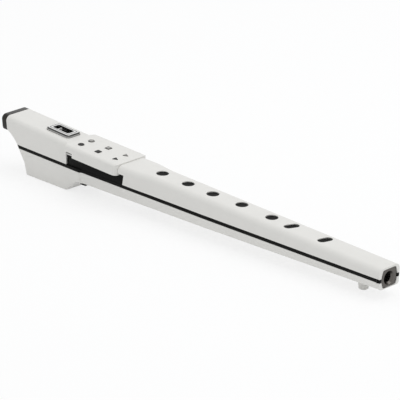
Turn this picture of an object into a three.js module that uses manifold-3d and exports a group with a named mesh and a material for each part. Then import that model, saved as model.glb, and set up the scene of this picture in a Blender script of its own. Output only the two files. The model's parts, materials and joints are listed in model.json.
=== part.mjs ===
// A digital wind controller: a long white tapered body in two shells on a black
// frame, with a chrome-black mouthpiece, a window, a panel of six keys, seven
// finger sensors, a battery bulge that it stands on, and a peg near the foot.
//
// The body is drawn with its black band level: x runs from the mouthpiece to the
// foot, z runs up, and x = 0 is the mouthpiece's tip. The whole body then leans
// by the small angle at which bulge and peg both touch the table.

import * as THREE from "three";
import { mergeVertices } from "three/addons/utils/BufferGeometryUtils.js";
import Module from "manifold-3d";

const wasm = await Module();
wasm.setup();

// Main sizes of the body, in millimetres.
const BODY_LENGTH = 480;
const CAP_LENGTH = 7;
const TIP_TOP_Z = 54.9;
const HEAD_TOP_FRONT_Z = 49.9;
const TUBE_TOP_REAR_Z = 46.5;
const TUBE_TOP_WAIST_Z = 45.7;
const FOOT_TOP_Z = 37.4;
const BEAK_RISE = 39.9;
const TIP_HALF_WIDTH = 16.6;
const HEAD_HALF_WIDTH = 17;
const HEAD_FULL_WIDTH_X = 45;
const FLARE_HALF_WIDTH = 18.4;
const FLARE_START_X = 176;
const FLARE_END_X = 208;
const TUBE_HALF_WIDTH = 15;
const FOOT_HALF_WIDTH = 13.3;
const HEAD_EDGE_RADIUS = 5;
const TUBE_EDGE_RADIUS = 5.6;
const UNDERSIDE_EDGE_RADIUS = 2.8;
const SHELL_WALL = 2;
const SIDE_DRAFT_SHARE = 0.035;

// The band: the black frame's level edge between the two white shells.
const BAND_BOTTOM_Z = 24.9;
const BAND_THICKNESS = 3;
const BAND_REAR_X = 20;
const BAND_HALF_WIDTH_REAR = 14.2;
const BULGE_HALF_WIDTH = 17.2;
const BULGE_END_X = 107;
const WAIST_X = 111.5;
const WAIST_HALF_WIDTH = 15.5;
const GRIP_END_SHARE = 0.34277;
const GRIP_HALF_WIDTH = 15.7;
const BAND_HALF_WIDTH_FOOT = 12.9;
const BAND_WIDTH = 2.6;
const BAND_END_RADIUS = 2.2;
const BAND_END_REACH = 1.1;
const CROSS_BAR_WIDTH = 5;
const CROSS_BAR_BOTTOM_Z = 26.2;
const HEAD_BAR_REAR_X = 45;
const HEAD_BAR_FRONT_X = 78;
const FOOT_BAR_SHARE = 0.59748;

// The battery bulge, which is also the rear foot.
const BULGE_REAR_X = 32;
const BULGE_FRONT_X = 86;
const BULGE_FRONT_REACH = 18;
const UNDERSIDE_REAR_Z = 13;
const UNDERSIDE_FOOT_Z = 17.8;

// The peg near the foot. Its end and the bulge lie on one table.
const PEG_FROM_FOOT = 29;
const PEG_END_Z = 7.5;
const PEG_RADIUS = 5.3;
const PEG_END_RADIUS = 4.5;
const PEG_RIM_RADIUS = 1.6;
const PEG_SPIGOT_RADIUS = 3;
const PEG_SPIGOT_LENGTH = 4.5;

// Fits.
const SEAM = 0.3;
const OVERRUN = 4;
const SMALLEST_RADIUS = 0.6;

// Panel cover, keys and the parts under it, measured from the cover's top.
const COVER_REAR_X = 90.7;
const COVER_FRONT_X = 162;
const COVER_REAR_TOP_Z = 50;
const COVER_FRONT_TOP_Z = 47.4;
const COVER_HALF_WIDTH = 21.2;
const COVER_WIDENING = 3;
const COVER_HEIGHT = 10.7;
const COVER_WALL = 2;
const COVER_EDGE_RADIUS = 3.5;
const COVER_CORNER_RADIUS = 5;
const RECESS_FRONT_X = 165.7;
const RECESS_TOP_Z = 39;
const RECESS_FRONT_SLANT = 3.8;
const RECESS_HALF_WIDTH = 15.4;
const RECESS_WALL = 2.4;
const KEY_FIRST_X = 12.8;
const KEY_PITCH = 23.15;
const KEY_NEAR_Y = -9.2;
const KEY_FAR_Y = 4.2;
const KEY_RADIUS = 2.9;
const KEY_PROUD = 0.5;
const KEY_TRAVEL = 0.8;
const KEY_FLANGE_RADIUS = 4.4;
const KEY_FLANGE_THICKNESS = 1.1;
const KEY_MAT_THICKNESS = 0.8;
const KEY_BOARD_THICKNESS = 1;
const KEY_BOARD_MARGIN = 3;
const DECK_THICKNESS = 2;
const BULKHEAD = 2.4;

// Power switch in the notch at the rear end of the near skirt.
const SWITCH_LENGTH = 7.4;
const SWITCH_TRAVEL = 2;
const SWITCH_HEIGHT = 1.2;
const SWITCH_Z = 41.2;
const SWITCH_SETBACK = 0.5;
const SWITCH_BAR_DEPTH = 1.1;
const SWITCH_STEM_LENGTH = 1.8;
const SWITCH_STEM_DEPTH = 2.6;
const SWITCH_REAR_X = 95.3;
const NOTCH_LENGTH = 12.8;
const NOTCH_HEIGHT = 4.1;

// Window on the head, with its bezel.
const WINDOW_X = 69.5;
const BEZEL_LENGTH = 31;
const BEZEL_WIDTH = 17.5;
const BEZEL_RADIUS = 3;
const BEZEL_PROUD = 2.6;
const BEZEL_SUNK = 0.6;
const BEZEL_CHAMFER = 1;
const WINDOW_LENGTH = 19.6;
const WINDOW_WIDTH = 7.2;
const WINDOW_RADIUS = 1;
const WINDOW_DEPTH = 6;
const WINDOW_WALL = 1.4;
const LIP_THICKNESS = 1.1;
const LIP_SETBACK = 3.4;
const LIP_PROUD = 1.2;

// Mouthpiece cap, its seal and the breath path.
const CAP_ROUND = 1.6;
const SPIGOT_LENGTH = 11;
const SPIGOT_CLEARANCE = 1.1;
const SPIGOT_WALL = 1.8;
const BREATH_SLOT_WIDTH = 14;
const BREATH_SLOT_HEIGHT = 2.6;
const SEAL_PLACE = 4;
const SEAL_WIDTH = 2;
const SEAL_DEPTH = 0.9;
const HOSE_RADIUS = 2.6;
const HOSE_BORE_RADIUS = 1.6;
const SENSOR_SIZE = 12;
const SENSOR_HEIGHT = 6;
const SENSOR_X = 42;
const NOZZLE_RADIUS = 1.3;
const NOZZLE_LENGTH = 5;

// Boards.
const BOARD_THICKNESS = 1.6;
const MAIN_BOARD_Z = 30;
const MAIN_BOARD_REAR_X = 114;
const MAIN_BOARD_FRONT_SHARE = 0.87421;
const MAIN_BOARD_HALF_WIDTH = 10.8;
const SENSOR_BOARD_LENGTH = 44;
const SENSOR_BOARD_HALF_WIDTH = 11;

// Finger sensors: five round ones, then two slanted oblong ones. Their places, and
// those of the screws, are shares of the tube from the cover to the foot, because
// the notes of a longer tube lie wider apart. The fourth and fifth lie a little aside.
const ROUND_FINGER_SHARES = [0.12767, 0.23208, 0.33082, 0.43931, 0.55818];
const FINGER_6_SHARE = 0.63711;
const FINGER_7_SHARE = 0.76289;
const FINGER_4_ASIDE = 1.9;
const FINGER_5_ASIDE = 1.1;
const FINGER_HOLE_RADIUS = 6;
const OBLONG_HOLE_LENGTH = 15;
const OBLONG_HOLE_WIDTH = 8.4;
const FINGER_6_SLANT_DEGREES = 22;
const FINGER_7_SLANT_DEGREES = 15;
const SENSOR_SETBACK = 0.6;
const SENSOR_DISH = 0.9;
const DISH_SPREAD_SHARE = 0.8;
const OBLONG_DISH_SPREAD_SHARE = 0.55;
const THUMB_X = 188;

// Sockets in the far side of the recess.
const USB_X = 124;
const USB_WIDTH = 9;
const USB_HEIGHT = 3.2;
const USB_DEPTH = 7.5;
const USB_SHELL = 0.4;
const JACK_X = 143;
const JACK_RADIUS = 3.2;
const JACK_BORE_RADIUS = 1.75;
const JACK_DEPTH = 12;

// Batteries: four size AAA cells in two layers.
const CELL_RADIUS = 5.25;
const CELL_LENGTH = 43.3;
const CELL_NUB_RADIUS = 1.9;
const CELL_NUB_LENGTH = 1.2;
const CELL_GAP = 0.3;
const CELL_BOTTOM_Z = 3.1;
const TRAY_WALL = 0.7;
const CONTACT_THICKNESS = 0.5;
const CONTACT_WIDTH = 8;
const DOOR_LENGTH = 46;
const DOOR_WIDTH = 18;
const DOOR_THICKNESS = 1.8;
const DOOR_RADIUS = 2;
const DOOR_INSET = 0.5;
const DOOR_GROOVE_RADIUS = 2.2;
const DOOR_GROOVE_DEPTH = 0.6;

// Screws that hold the shells together.
const COVER_SCREW_X = 140;
const TUBE_SCREW_SHARES = [0.17925, 0.38679, 0.70126, 0.84277];
const SCREW_HEAD_RADIUS = 2.5;
const SCREW_HEAD_HEIGHT = 1.3;
const SCREW_RADIUS = 1.2;
const SCREW_LENGTH = 10;
const SCREW_SEAT_Z = 19.6;
const SCREW_SLOT_WIDTH = 0.8;
const SCREW_SLOT_DEPTH = 0.6;
const SEAT_THICKNESS = 2;
const BOSS_RADIUS = 3.2;

// Foot end.
const END_WALL = 3;
const INSERT_TOP_Z = 35.3;
const INSERT_BOTTOM_Z = 18.7;
const INSERT_HALF_WIDTH = 10.3;
const INSERT_CORNER_HALF_WIDTH = 8;
const INSERT_LENGTH = 26;
const INSERT_FACE_SETBACK = 0.8;
const BORE_Z = 26.4;
const BORE_RADIUS = 5;
const BORE_MOUTH_RADIUS = 6.4;
const BORE_MOUTH_DEPTH = 2.2;

// Lug under the tube, just in front of the bulge.
const LUG_X = 108;
const LUG_LENGTH = 7;
const LUG_WIDTH = 23;
const LUG_DROP = 2.6;

// Curved stretches as shares of their length and rise, chosen by eye.
const BEAK_SHARES = [
  [0, 1], [0.15, 0.935], [0.3, 0.85], [0.4, 0.78], [0.5, 0.685], [0.6, 0.57], [0.7, 0.47],
  [0.81, 0.36], [0.9, 0.26], [0.955, 0.13], [0.985, 0.045],
];
const BULGE_FRONT_SHARES = [[0.1, 0.025], [0.25, 0.11], [0.5, 0.38], [0.78, 0.74], [0.93, 0.93]];
const FLARE_SHARES = [0.2, 0.4, 0.6, 0.8];
const HEAD_WIDTH_SHARES = [0.25, 0.5, 0.75];

const ARC_STEPS = 4;
const ROUND_STEPS = 20;
const SMALL_ROUND_STEPS = 12;

// Solids: closed three.js geometry in, joined and cut solids out.

function solidOf(geometry) {
  const bare = geometry.clone();
  bare.deleteAttribute("normal");
  bare.deleteAttribute("uv");
  const merged = mergeVertices(bare);
  const triangles = merged.index.array;
  return new wasm.Manifold(new wasm.Mesh({
    numProp: 3,
    vertProperties: new Float32Array(merged.attributes.position.array),
    triVerts: new Uint32Array(triangles),
  }));
}

function join(first, ...others) {
  return others.reduce((whole, other) => whole.add(other), first);
}

function cut(first, ...tools) {
  return tools.reduce((whole, tool) => whole.subtract(tool), first);
}

function meshOf(name, solid, material) {
  const { vertProperties, triVerts } = solid.getMesh();
  const geometry = new THREE.BufferGeometry();
  geometry.setAttribute("position", new THREE.BufferAttribute(new Float32Array(vertProperties), 3));
  geometry.setIndex(new THREE.BufferAttribute(new Uint32Array(triVerts), 1));
  geometry.computeVertexNormals();
  const mesh = new THREE.Mesh(geometry, material);
  mesh.name = name;
  return mesh;
}

// A box between two corners.
function boxGeometry([x0, y0, z0], [x1, y1, z1]) {
  const box = new THREE.BoxGeometry(x1 - x0, y1 - y0, z1 - z0);
  return box.translate((x0 + x1) / 2, (y0 + y1) / 2, (z0 + z1) / 2);
}

function boxOf(low, high, matrix) {
  const box = boxGeometry(low, high);
  return solidOf(matrix ? box.applyMatrix4(matrix) : box);
}

// An upright disc or rod from z0 to z1.
function rodOf(x, y, radius, z0, z1, steps = ROUND_STEPS, matrix = new THREE.Matrix4()) {
  const rod = new THREE.CylinderGeometry(radius, radius, z1 - z0, steps);
  return solidOf(rod.rotateX(Math.PI / 2).translate(x, y, (z0 + z1) / 2).applyMatrix4(matrix));
}

// A rod along x.
function rodAlongX(y, z, radius, x0, x1, steps = ROUND_STEPS) {
  const rod = new THREE.CylinderGeometry(radius, radius, x1 - x0, steps);
  return solidOf(rod.rotateZ(Math.PI / 2).translate((x0 + x1) / 2, y, z));
}

// A rod along y.
function rodAlongY(x, z, radius, y0, y1, steps = ROUND_STEPS) {
  const rod = new THREE.CylinderGeometry(radius, radius, y1 - y0, steps);
  return solidOf(rod.translate(x, (y0 + y1) / 2, z));
}

// A turned piece: [radius, z] points from the axis back to the axis.
function turned(x, y, profile, steps = ROUND_STEPS, matrix = new THREE.Matrix4()) {
  const points = profile.map(([radius, z]) => new THREE.Vector2(radius, z));
  const lathe = new THREE.LatheGeometry(points, steps).rotateX(Math.PI / 2);
  return solidOf(lathe.translate(x, y, 0).applyMatrix4(matrix));
}

function roundedRectangle(length, width, radius) {
  const a = length / 2;
  const b = width / 2;
  const shape = new THREE.Shape();
  shape.moveTo(-a + radius, -b);
  shape.lineTo(a - radius, -b);
  shape.absarc(a - radius, -b + radius, radius, -Math.PI / 2, 0, false);
  shape.absarc(a - radius, b - radius, radius, 0, Math.PI / 2, false);
  shape.absarc(-a + radius, b - radius, radius, Math.PI / 2, Math.PI, false);
  shape.absarc(-a + radius, -b + radius, radius, Math.PI, Math.PI * 1.5, false);
  return shape;
}

// A flat shape given thickness from z0 to z1.
function plateGeometry(shape, z0, z1, curveSegments = ARC_STEPS) {
  const options = { depth: z1 - z0, bevelEnabled: false, curveSegments };
  return new THREE.ExtrudeGeometry(shape, options).translate(0, 0, z0);
}

// Outline of the body as functions of x.

function smooth(share) {
  return (1 - Math.cos(Math.PI * share)) / 2;
}

function lineAt(points, x) {
  const next = points.findIndex(([place]) => place >= x);
  if (next === 0) return points[0][1];
  if (next < 0) return points[points.length - 1][1];
  const [x0, value0] = points[next - 1];
  const [x1, value1] = points[next];
  return value0 + ((value1 - value0) * (x - x0)) / (x1 - x0);
}

// A place on the tube, given as a share of the way from the cover to the foot.
function tubeX(share) {
  return COVER_FRONT_X + share * (BODY_LENGTH - COVER_FRONT_X);
}

const GRIP_END_X = tubeX(GRIP_END_SHARE);
const FOOT_BAR_X = tubeX(FOOT_BAR_SHARE);
const PEG_X = BODY_LENGTH - PEG_FROM_FOOT;
const REST_MID_X = (BULGE_REAR_X + BULGE_FRONT_X) / 2;
const REST_SLOPE = PEG_END_Z / (PEG_X - REST_MID_X);
const REST_TILT = Math.atan(REST_SLOPE);
const BAND_TOP_Z = BAND_BOTTOM_Z + BAND_THICKNESS;
const BAND_MID_Z = (BAND_BOTTOM_Z + BAND_TOP_Z) / 2;
const COVER_SLOPE = (COVER_REAR_TOP_Z - COVER_FRONT_TOP_Z) / (COVER_FRONT_X - COVER_REAR_X);
const PANEL_TILT = Math.atan(COVER_SLOPE);
const HEAD_TILT = Math.atan((TIP_TOP_Z - HEAD_TOP_FRONT_Z) / COVER_REAR_X);

function tableZ(x) {
  return (x - REST_MID_X) * REST_SLOPE;
}

const topLine = [
  [0, TIP_TOP_Z],
  [COVER_REAR_X, HEAD_TOP_FRONT_Z],
  [COVER_FRONT_X, TUBE_TOP_REAR_Z],
  [FLARE_END_X, TUBE_TOP_WAIST_Z],
  [BODY_LENGTH, FOOT_TOP_Z],
];

const shoulderLine = [
  [0, TIP_HALF_WIDTH],
  ...HEAD_WIDTH_SHARES.map((share) => [
    share * HEAD_FULL_WIDTH_X,
    TIP_HALF_WIDTH + (HEAD_HALF_WIDTH - TIP_HALF_WIDTH) * Math.sin((share * Math.PI) / 2),
  ]),
  [HEAD_FULL_WIDTH_X, HEAD_HALF_WIDTH],
  [COVER_REAR_X, HEAD_HALF_WIDTH],
  [COVER_FRONT_X, FLARE_HALF_WIDTH],
  [FLARE_START_X, FLARE_HALF_WIDTH],
  ...FLARE_SHARES.map((share) => [
    FLARE_START_X + share * (FLARE_END_X - FLARE_START_X),
    FLARE_HALF_WIDTH + (TUBE_HALF_WIDTH - FLARE_HALF_WIDTH) * smooth(share),
  ]),
  [FLARE_END_X, TUBE_HALF_WIDTH],
  [BODY_LENGTH, FOOT_HALF_WIDTH],
];

const bandLine = [
  [BAND_REAR_X, BAND_HALF_WIDTH_REAR],
  [BULGE_END_X, BULGE_HALF_WIDTH],
  [WAIST_X, WAIST_HALF_WIDTH],
  [GRIP_END_X, GRIP_HALF_WIDTH],
  [BODY_LENGTH, BAND_HALF_WIDTH_FOOT],
];

const undersideLine = [
  ...BEAK_SHARES.map(([along, rise]) => {
    const x = CAP_LENGTH + along * (BULGE_REAR_X - CAP_LENGTH);
    return [x, tableZ(x) + rise * BEAK_RISE];
  }),
  [BULGE_REAR_X, tableZ(BULGE_REAR_X)],
  [BULGE_FRONT_X, tableZ(BULGE_FRONT_X)],
  ...BULGE_FRONT_SHARES.map(([along, rise]) => {
    const x = BULGE_FRONT_X + along * BULGE_FRONT_REACH;
    return [x, tableZ(BULGE_FRONT_X) + rise * (UNDERSIDE_REAR_Z - tableZ(BULGE_FRONT_X))];
  }),
  [BULGE_FRONT_X + BULGE_FRONT_REACH, UNDERSIDE_REAR_Z],
  [BODY_LENGTH, UNDERSIDE_FOOT_Z],
];

const edgeRadiusLine = [
  [COVER_REAR_X, HEAD_EDGE_RADIUS],
  [COVER_FRONT_X, TUBE_EDGE_RADIUS],
];

// The underside, or the same line moved inwards by a wall, also where it is steep.
function undersideZ(x, inset) {
  const places = [x - inset, x, x + inset];
  return Math.max(...places.map((place) => lineAt(undersideLine, place))) + inset;
}

// Half the body's width at a height: shoulders, band and underside joined by straight sides.
function halfWidthAt(x, z) {
  const shoulderZ = lineAt(topLine, x) - lineAt(edgeRadiusLine, x);
  const shoulder = lineAt(shoulderLine, x);
  const band = lineAt(bandLine, x);
  const lean = (shoulder - band) / (shoulderZ - BAND_MID_Z);
  if (z >= BAND_MID_Z) return band + lean * (Math.min(z, shoulderZ) - BAND_MID_Z);
  return band - SIDE_DRAFT_SHARE * (BAND_MID_Z - z);
}

function arcPoints(centreY, centreZ, radius, from, steps = ARC_STEPS) {
  return Array.from({ length: steps + 1 }, (_, step) => {
    const angle = from + (step / steps) * (Math.PI / 2);
    return [centreY + radius * Math.cos(angle), centreZ + radius * Math.sin(angle)];
  });
}

// One cross-section of the body, counter-clockwise seen from the foot.
function bodySection(x, inset) {
  const top = lineAt(topLine, x) - inset;
  const bottom = undersideZ(x, inset);
  const upper = Math.max(lineAt(edgeRadiusLine, x) - inset, SMALLEST_RADIUS);
  const lower = Math.max(UNDERSIDE_EDGE_RADIUS - inset, SMALLEST_RADIUS);
  const topHalf = halfWidthAt(x, top - upper) - inset;
  const bottomHalf = halfWidthAt(x, bottom) - inset;
  const midZ = Math.min(Math.max(BAND_MID_Z, bottom + lower + SEAM), top - upper - SEAM);
  const midHalf = halfWidthAt(x, midZ) - inset;
  return [
    ...arcPoints(bottomHalf - lower, bottom + lower, lower, -Math.PI / 2),
    [midHalf, midZ],
    ...arcPoints(topHalf - upper, top - upper, upper, 0),
    ...arcPoints(upper - topHalf, top - upper, upper, Math.PI / 2),
    [-midHalf, midZ],
    ...arcPoints(lower - bottomHalf, bottom + lower, lower, Math.PI),
  ];
}

// A skin through rings of equal count, each [x, points], closed by a fan at both ends.
function loftGeometry(rings) {
  const count = rings[0][1].length;
  const positions = rings.flatMap(([x, points]) => points.flatMap(([y, z]) => [x, y, z]));
  const triangles = [];
  for (let ring = 0; ring + 1 < rings.length; ring += 1) {
    for (let step = 0; step < count; step += 1) {
      const a = ring * count + step;
      const b = ring * count + ((step + 1) % count);
      triangles.push(a, b, a + count, b, b + count, a + count);
    }
  }
  for (const last of [false, true]) {
    const start = last ? (rings.length - 1) * count : 0;
    const [x, points] = rings[last ? rings.length - 1 : 0];
    const middle = points.reduce(([y, z], point) => [y + point[0] / count, z + point[1] / count], [0, 0]);
    const centre = positions.length / 3;
    positions.push(x, ...middle);
    for (let step = 0; step < count; step += 1) {
      const a = start + step;
      const b = start + ((step + 1) % count);
      triangles.push(centre, ...(last ? [a, b] : [b, a]));
    }
  }
  const geometry = new THREE.BufferGeometry();
  geometry.setAttribute("position", new THREE.Float32BufferAttribute(positions, 3));
  geometry.setIndex(triangles);
  return geometry;
}

// The body's places of change between two ends, with both ends.
function stationsBetween(from, to) {
  const lines = [topLine, shoulderLine, bandLine, undersideLine];
  const places = lines.flatMap((line) => line.map(([x]) => x));
  const inside = places.filter((x) => x > from + SEAM && x < to - SEAM).sort((a, b) => a - b);
  const apart = inside.filter((x, index) => index === 0 || x - inside[index - 1] > SEAM);
  return [from, ...apart, to];
}

function bodyOf(from, to, inset) {
  return solidOf(loftGeometry(stationsBetween(from, to).map((x) => [x, bodySection(x, inset)])));
}

const SIDE = COVER_HALF_WIDTH + OVERRUN;
const TALL = TIP_TOP_Z + OVERRUN;

// A slab right across the body between two heights.
function slabBetween(z0, z1) {
  return boxOf([-OVERRUN, -SIDE, z0], [BODY_LENGTH + OVERRUN, SIDE, z1]);
}

// Tilted frames that pieces share: the panel, the window and the table.
function tiltedFrame(x, z, tilt) {
  return new THREE.Matrix4().makeTranslation(x, 0, z).multiply(new THREE.Matrix4().makeRotationY(tilt));
}

const panelFrame = tiltedFrame(COVER_REAR_X, COVER_REAR_TOP_Z, PANEL_TILT);
const windowFrame = tiltedFrame(WINDOW_X, lineAt(topLine, WINDOW_X), HEAD_TILT);
const tableFrame = tiltedFrame(REST_MID_X, 0, -REST_TILT);
const pegFrame = tiltedFrame(PEG_X, PEG_END_Z, -REST_TILT);

const COVER_LENGTH = (COVER_FRONT_X - COVER_REAR_X) / Math.cos(PANEL_TILT);
const FRAME_WALL_TOP = -COVER_EDGE_RADIUS - SEAM - KEY_TRAVEL;
const KEY_FLANGE_TOP = -COVER_WALL - SEAM;
const KEY_FLANGE_BOTTOM = KEY_FLANGE_TOP - KEY_FLANGE_THICKNESS;
const KEY_MAT_TOP = KEY_FLANGE_BOTTOM - KEY_TRAVEL - SEAM;
const KEY_BOARD_TOP = KEY_MAT_TOP - KEY_MAT_THICKNESS - SEAM;
const DECK_TOP = KEY_BOARD_TOP - KEY_BOARD_THICKNESS - SEAM;
const DECK_HALF_WIDTH = RECESS_HALF_WIDTH - RECESS_WALL - SEAM;
const BOARD_TOP_Z = MAIN_BOARD_Z + BOARD_THICKNESS;
const CUP_OUTER_LENGTH = WINDOW_LENGTH + 2 * WINDOW_WALL;
const CUP_OUTER_WIDTH = WINDOW_WIDTH + 2 * WINDOW_WALL;
const PEG_HEIGHT = lineAt(undersideLine, PEG_X) - PEG_END_Z;

const screwPlaces = [COVER_SCREW_X, ...TUBE_SCREW_SHARES.map(tubeX)];
const crossBarPlaces = [
  HEAD_BAR_REAR_X, HEAD_BAR_FRONT_X, BULGE_END_X, FLARE_START_X, GRIP_END_X, FOOT_BAR_X, PEG_X,
];
const roundFingerAsides = [0, 0, 0, FINGER_4_ASIDE, FINGER_5_ASIDE];
const fingerSensors = [
  ...ROUND_FINGER_SHARES.map((share, index) => ({ x: tubeX(share), y: roundFingerAsides[index] })),
  { x: tubeX(FINGER_6_SHARE), y: 0, slant: FINGER_6_SLANT_DEGREES },
  { x: tubeX(FINGER_7_SHARE), y: 0, slant: FINGER_7_SLANT_DEGREES },
];

// A round or slanted oblong finger piece, widened by a clearance.
function fingerPlug({ x, y, slant }, z0, z1, clearance) {
  if (slant === undefined) return rodOf(x, y, FINGER_HOLE_RADIUS + clearance, z0, z1);
  const width = OBLONG_HOLE_WIDTH + 2 * clearance;
  const length = OBLONG_HOLE_LENGTH + 2 * clearance;
  const plate = plateGeometry(roundedRectangle(width, length, (width - SEAM / 2) / 2), z0, z1);
  return solidOf(plate.rotateZ(THREE.MathUtils.degToRad(-slant)).translate(x, y, 0));
}

// The foot insert's outline, and the same outline as an opening.
function insertOutline(x0, x1, clearance) {
  const half = INSERT_HALF_WIDTH + clearance;
  const corner = INSERT_CORNER_HALF_WIDTH + clearance;
  const top = INSERT_TOP_Z + clearance;
  const bottom = INSERT_BOTTOM_Z - clearance;
  const middle = (top + bottom) / 2;
  const height = (top - bottom) / 2;
  const side = Array.from({ length: 2 * ARC_STEPS + 1 }, (_, step) => {
    const share = step / ARC_STEPS - 1;
    return [corner + (half - corner) * Math.cos((share * Math.PI) / 2), middle + height * share];
  });
  const otherSide = side.map(([y, z]) => [-y, z]).reverse();
  const points = [...side, ...otherSide];
  return solidOf(loftGeometry([[x0, points], [x1, points]]));
}

const insertOpening = insertOutline(BODY_LENGTH - INSERT_LENGTH - SEAM, BODY_LENGTH + OVERRUN, SEAM);

function deckZ(x) {
  return COVER_REAR_TOP_Z - (x - COVER_REAR_X) * COVER_SLOPE + DECK_TOP;
}

// Recess under the skirt, seen from the side: its front end leans towards the foot.
function recessBlock(rear, y0, y1, z0, clearance) {
  const top = RECESS_TOP_Z - clearance;
  const front = RECESS_FRONT_X - clearance;
  const outline = new THREE.Shape();
  outline.moveTo(rear, z0);
  outline.lineTo(front, z0);
  outline.lineTo(front, BAND_TOP_Z);
  outline.lineTo(front + RECESS_FRONT_SLANT, top);
  outline.lineTo(rear, top);
  return solidOf(plateGeometry(outline, -y1, -y0).rotateX(Math.PI / 2));
}

// Upper white shell: head and tube, joined by a sunken deck under the panel cover.
function topShell() {
  const body = bodyOf(CAP_LENGTH + SEAM, BODY_LENGTH, 0);
  const hollow = bodyOf(CAP_LENGTH - OVERRUN, BODY_LENGTH - END_WALL, SHELL_WALL);
  const upperHalf = slabBetween(BAND_TOP_Z + SEAM, TALL);
  const bayFront = COVER_FRONT_X + SEAM;
  const bay = boxOf([COVER_REAR_X, -SIDE, 0], [bayFront, SIDE, TALL]);
  const skin = cut(body, hollow, bay).intersect(upperHalf);
  const bulkheadBottom = deckZ(COVER_FRONT_X) - DECK_THICKNESS;
  const bulkheads = [[COVER_REAR_X - BULKHEAD, COVER_REAR_X], [bayFront, bayFront + BULKHEAD]].map(
    ([x0, x1]) => boxOf([x0, -SIDE, bulkheadBottom], [x1, SIDE, TALL]).intersect(body),
  );
  const deck = boxOf(
    [-BULKHEAD / 2, -DECK_HALF_WIDTH, DECK_TOP - DECK_THICKNESS],
    [COVER_LENGTH + BULKHEAD / 2, DECK_HALF_WIDTH, DECK_TOP],
    panelFrame,
  );
  const sideGap = RECESS_HALF_WIDTH - RECESS_WALL - SEAM;
  const recessCuts = [[-SIDE, -sideGap], [sideGap, SIDE]].map(([y0, y1]) =>
    recessBlock(COVER_REAR_X, y0, y1, 0, 0));
  const bosses = screwPlaces.map((x) => {
    const underDeck = x > COVER_REAR_X && x < COVER_FRONT_X;
    const top = underDeck ? deckZ(x) - DECK_THICKNESS / 2 : lineAt(topLine, x) - SHELL_WALL / 2;
    return rodOf(x, 0, BOSS_RADIUS, SCREW_SEAT_Z + SEAT_THICKNESS + SEAM, top, SMALL_ROUND_STEPS);
  });
  const pilots = screwPlaces.map((x) => rodOf(
    x, 0, SCREW_RADIUS + SEAM, SCREW_SEAT_Z, SCREW_SEAT_Z + SCREW_LENGTH + SEAM, SMALL_ROUND_STEPS));
  const fingerHoles = fingerSensors.map((sensor) => fingerPlug(sensor, BOARD_TOP_Z, TALL, 0));
  const bezelPocket = plateGeometry(
    roundedRectangle(BEZEL_LENGTH + 2 * SEAM, BEZEL_WIDTH + 2 * SEAM, BEZEL_RADIUS + SEAM),
    -BEZEL_SUNK - SEAM, OVERRUN,
  );
  const cupHole = plateGeometry(
    roundedRectangle(CUP_OUTER_LENGTH + 2 * SEAM, CUP_OUTER_WIDTH + 2 * SEAM, WINDOW_RADIUS + SEAM),
    -SHELL_WALL - OVERRUN, OVERRUN,
  );
  const windowCuts = [bezelPocket, cupHole].map((plate) => solidOf(plate.applyMatrix4(windowFrame)));
  const shell = join(skin, ...bulkheads, deck, ...bosses);
  return cut(shell, ...recessCuts, ...pilots, ...fingerHoles, ...windowCuts, insertOpening);
}

function doorPlate(z0, z1, clearance) {
  const shape = roundedRectangle(
    DOOR_LENGTH + 2 * clearance, DOOR_WIDTH + 2 * clearance, DOOR_RADIUS + clearance);
  return plateGeometry(shape, z0, z1).applyMatrix4(tableFrame);
}

// Lower white shell with the battery bulge, screw sleeves and the peg's seat.
function bottomShell() {
  const body = bodyOf(CAP_LENGTH, BODY_LENGTH, 0);
  const hollow = bodyOf(CAP_LENGTH - OVERRUN, BODY_LENGTH - END_WALL, SHELL_WALL);
  const lowerHalf = slabBetween(-OVERRUN, BAND_BOTTOM_Z - SEAM);
  const skin = cut(body, hollow).intersect(lowerHalf);
  const sleeves = screwPlaces.map((x) => {
    const floor = lineAt(undersideLine, x) + SHELL_WALL / 2;
    return rodOf(x, 0, BOSS_RADIUS + SHELL_WALL / 2, floor, SCREW_SEAT_Z + SEAT_THICKNESS);
  });
  const screwHoles = screwPlaces.flatMap((x) => [
    rodOf(x, 0, SCREW_RADIUS + SEAM, 0, BAND_BOTTOM_Z, SMALL_ROUND_STEPS),
    rodOf(x, 0, SCREW_HEAD_RADIUS + SEAM, 0, SCREW_SEAT_Z, SMALL_ROUND_STEPS),
  ]);
  const pegSeat = rodOf(
    0, 0, PEG_RADIUS, PEG_HEIGHT + SHELL_WALL / 2, PEG_HEIGHT + PEG_SPIGOT_LENGTH, ROUND_STEPS, pegFrame);
  const pegHole = rodOf(0, 0, PEG_SPIGOT_RADIUS + SEAM, 0, BAND_BOTTOM_Z, ROUND_STEPS, pegFrame);
  const thumbHole = rodOf(THUMB_X, 0, FINGER_HOLE_RADIUS, 0, BAND_BOTTOM_Z);
  const doorHole = solidOf(doorPlate(-OVERRUN, OVERRUN, SEAM));
  const lugHole = lugOf(SEAM, UNDERSIDE_REAR_Z + OVERRUN);
  const shell = join(skin, ...sleeves, pegSeat);
  return cut(shell, ...screwHoles, pegHole, thumbHole, doorHole, lugHole, insertOpening);
}

// Small dark lug let into the tube's underside.
function lugOf(clearance, top) {
  const floor = lineAt(undersideLine, LUG_X);
  return boxOf(
    [LUG_X - LUG_LENGTH / 2 - clearance, -LUG_WIDTH / 2 - clearance, floor - LUG_DROP - clearance],
    [LUG_X + LUG_LENGTH / 2 + clearance, LUG_WIDTH / 2 + clearance, top],
  );
}

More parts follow.
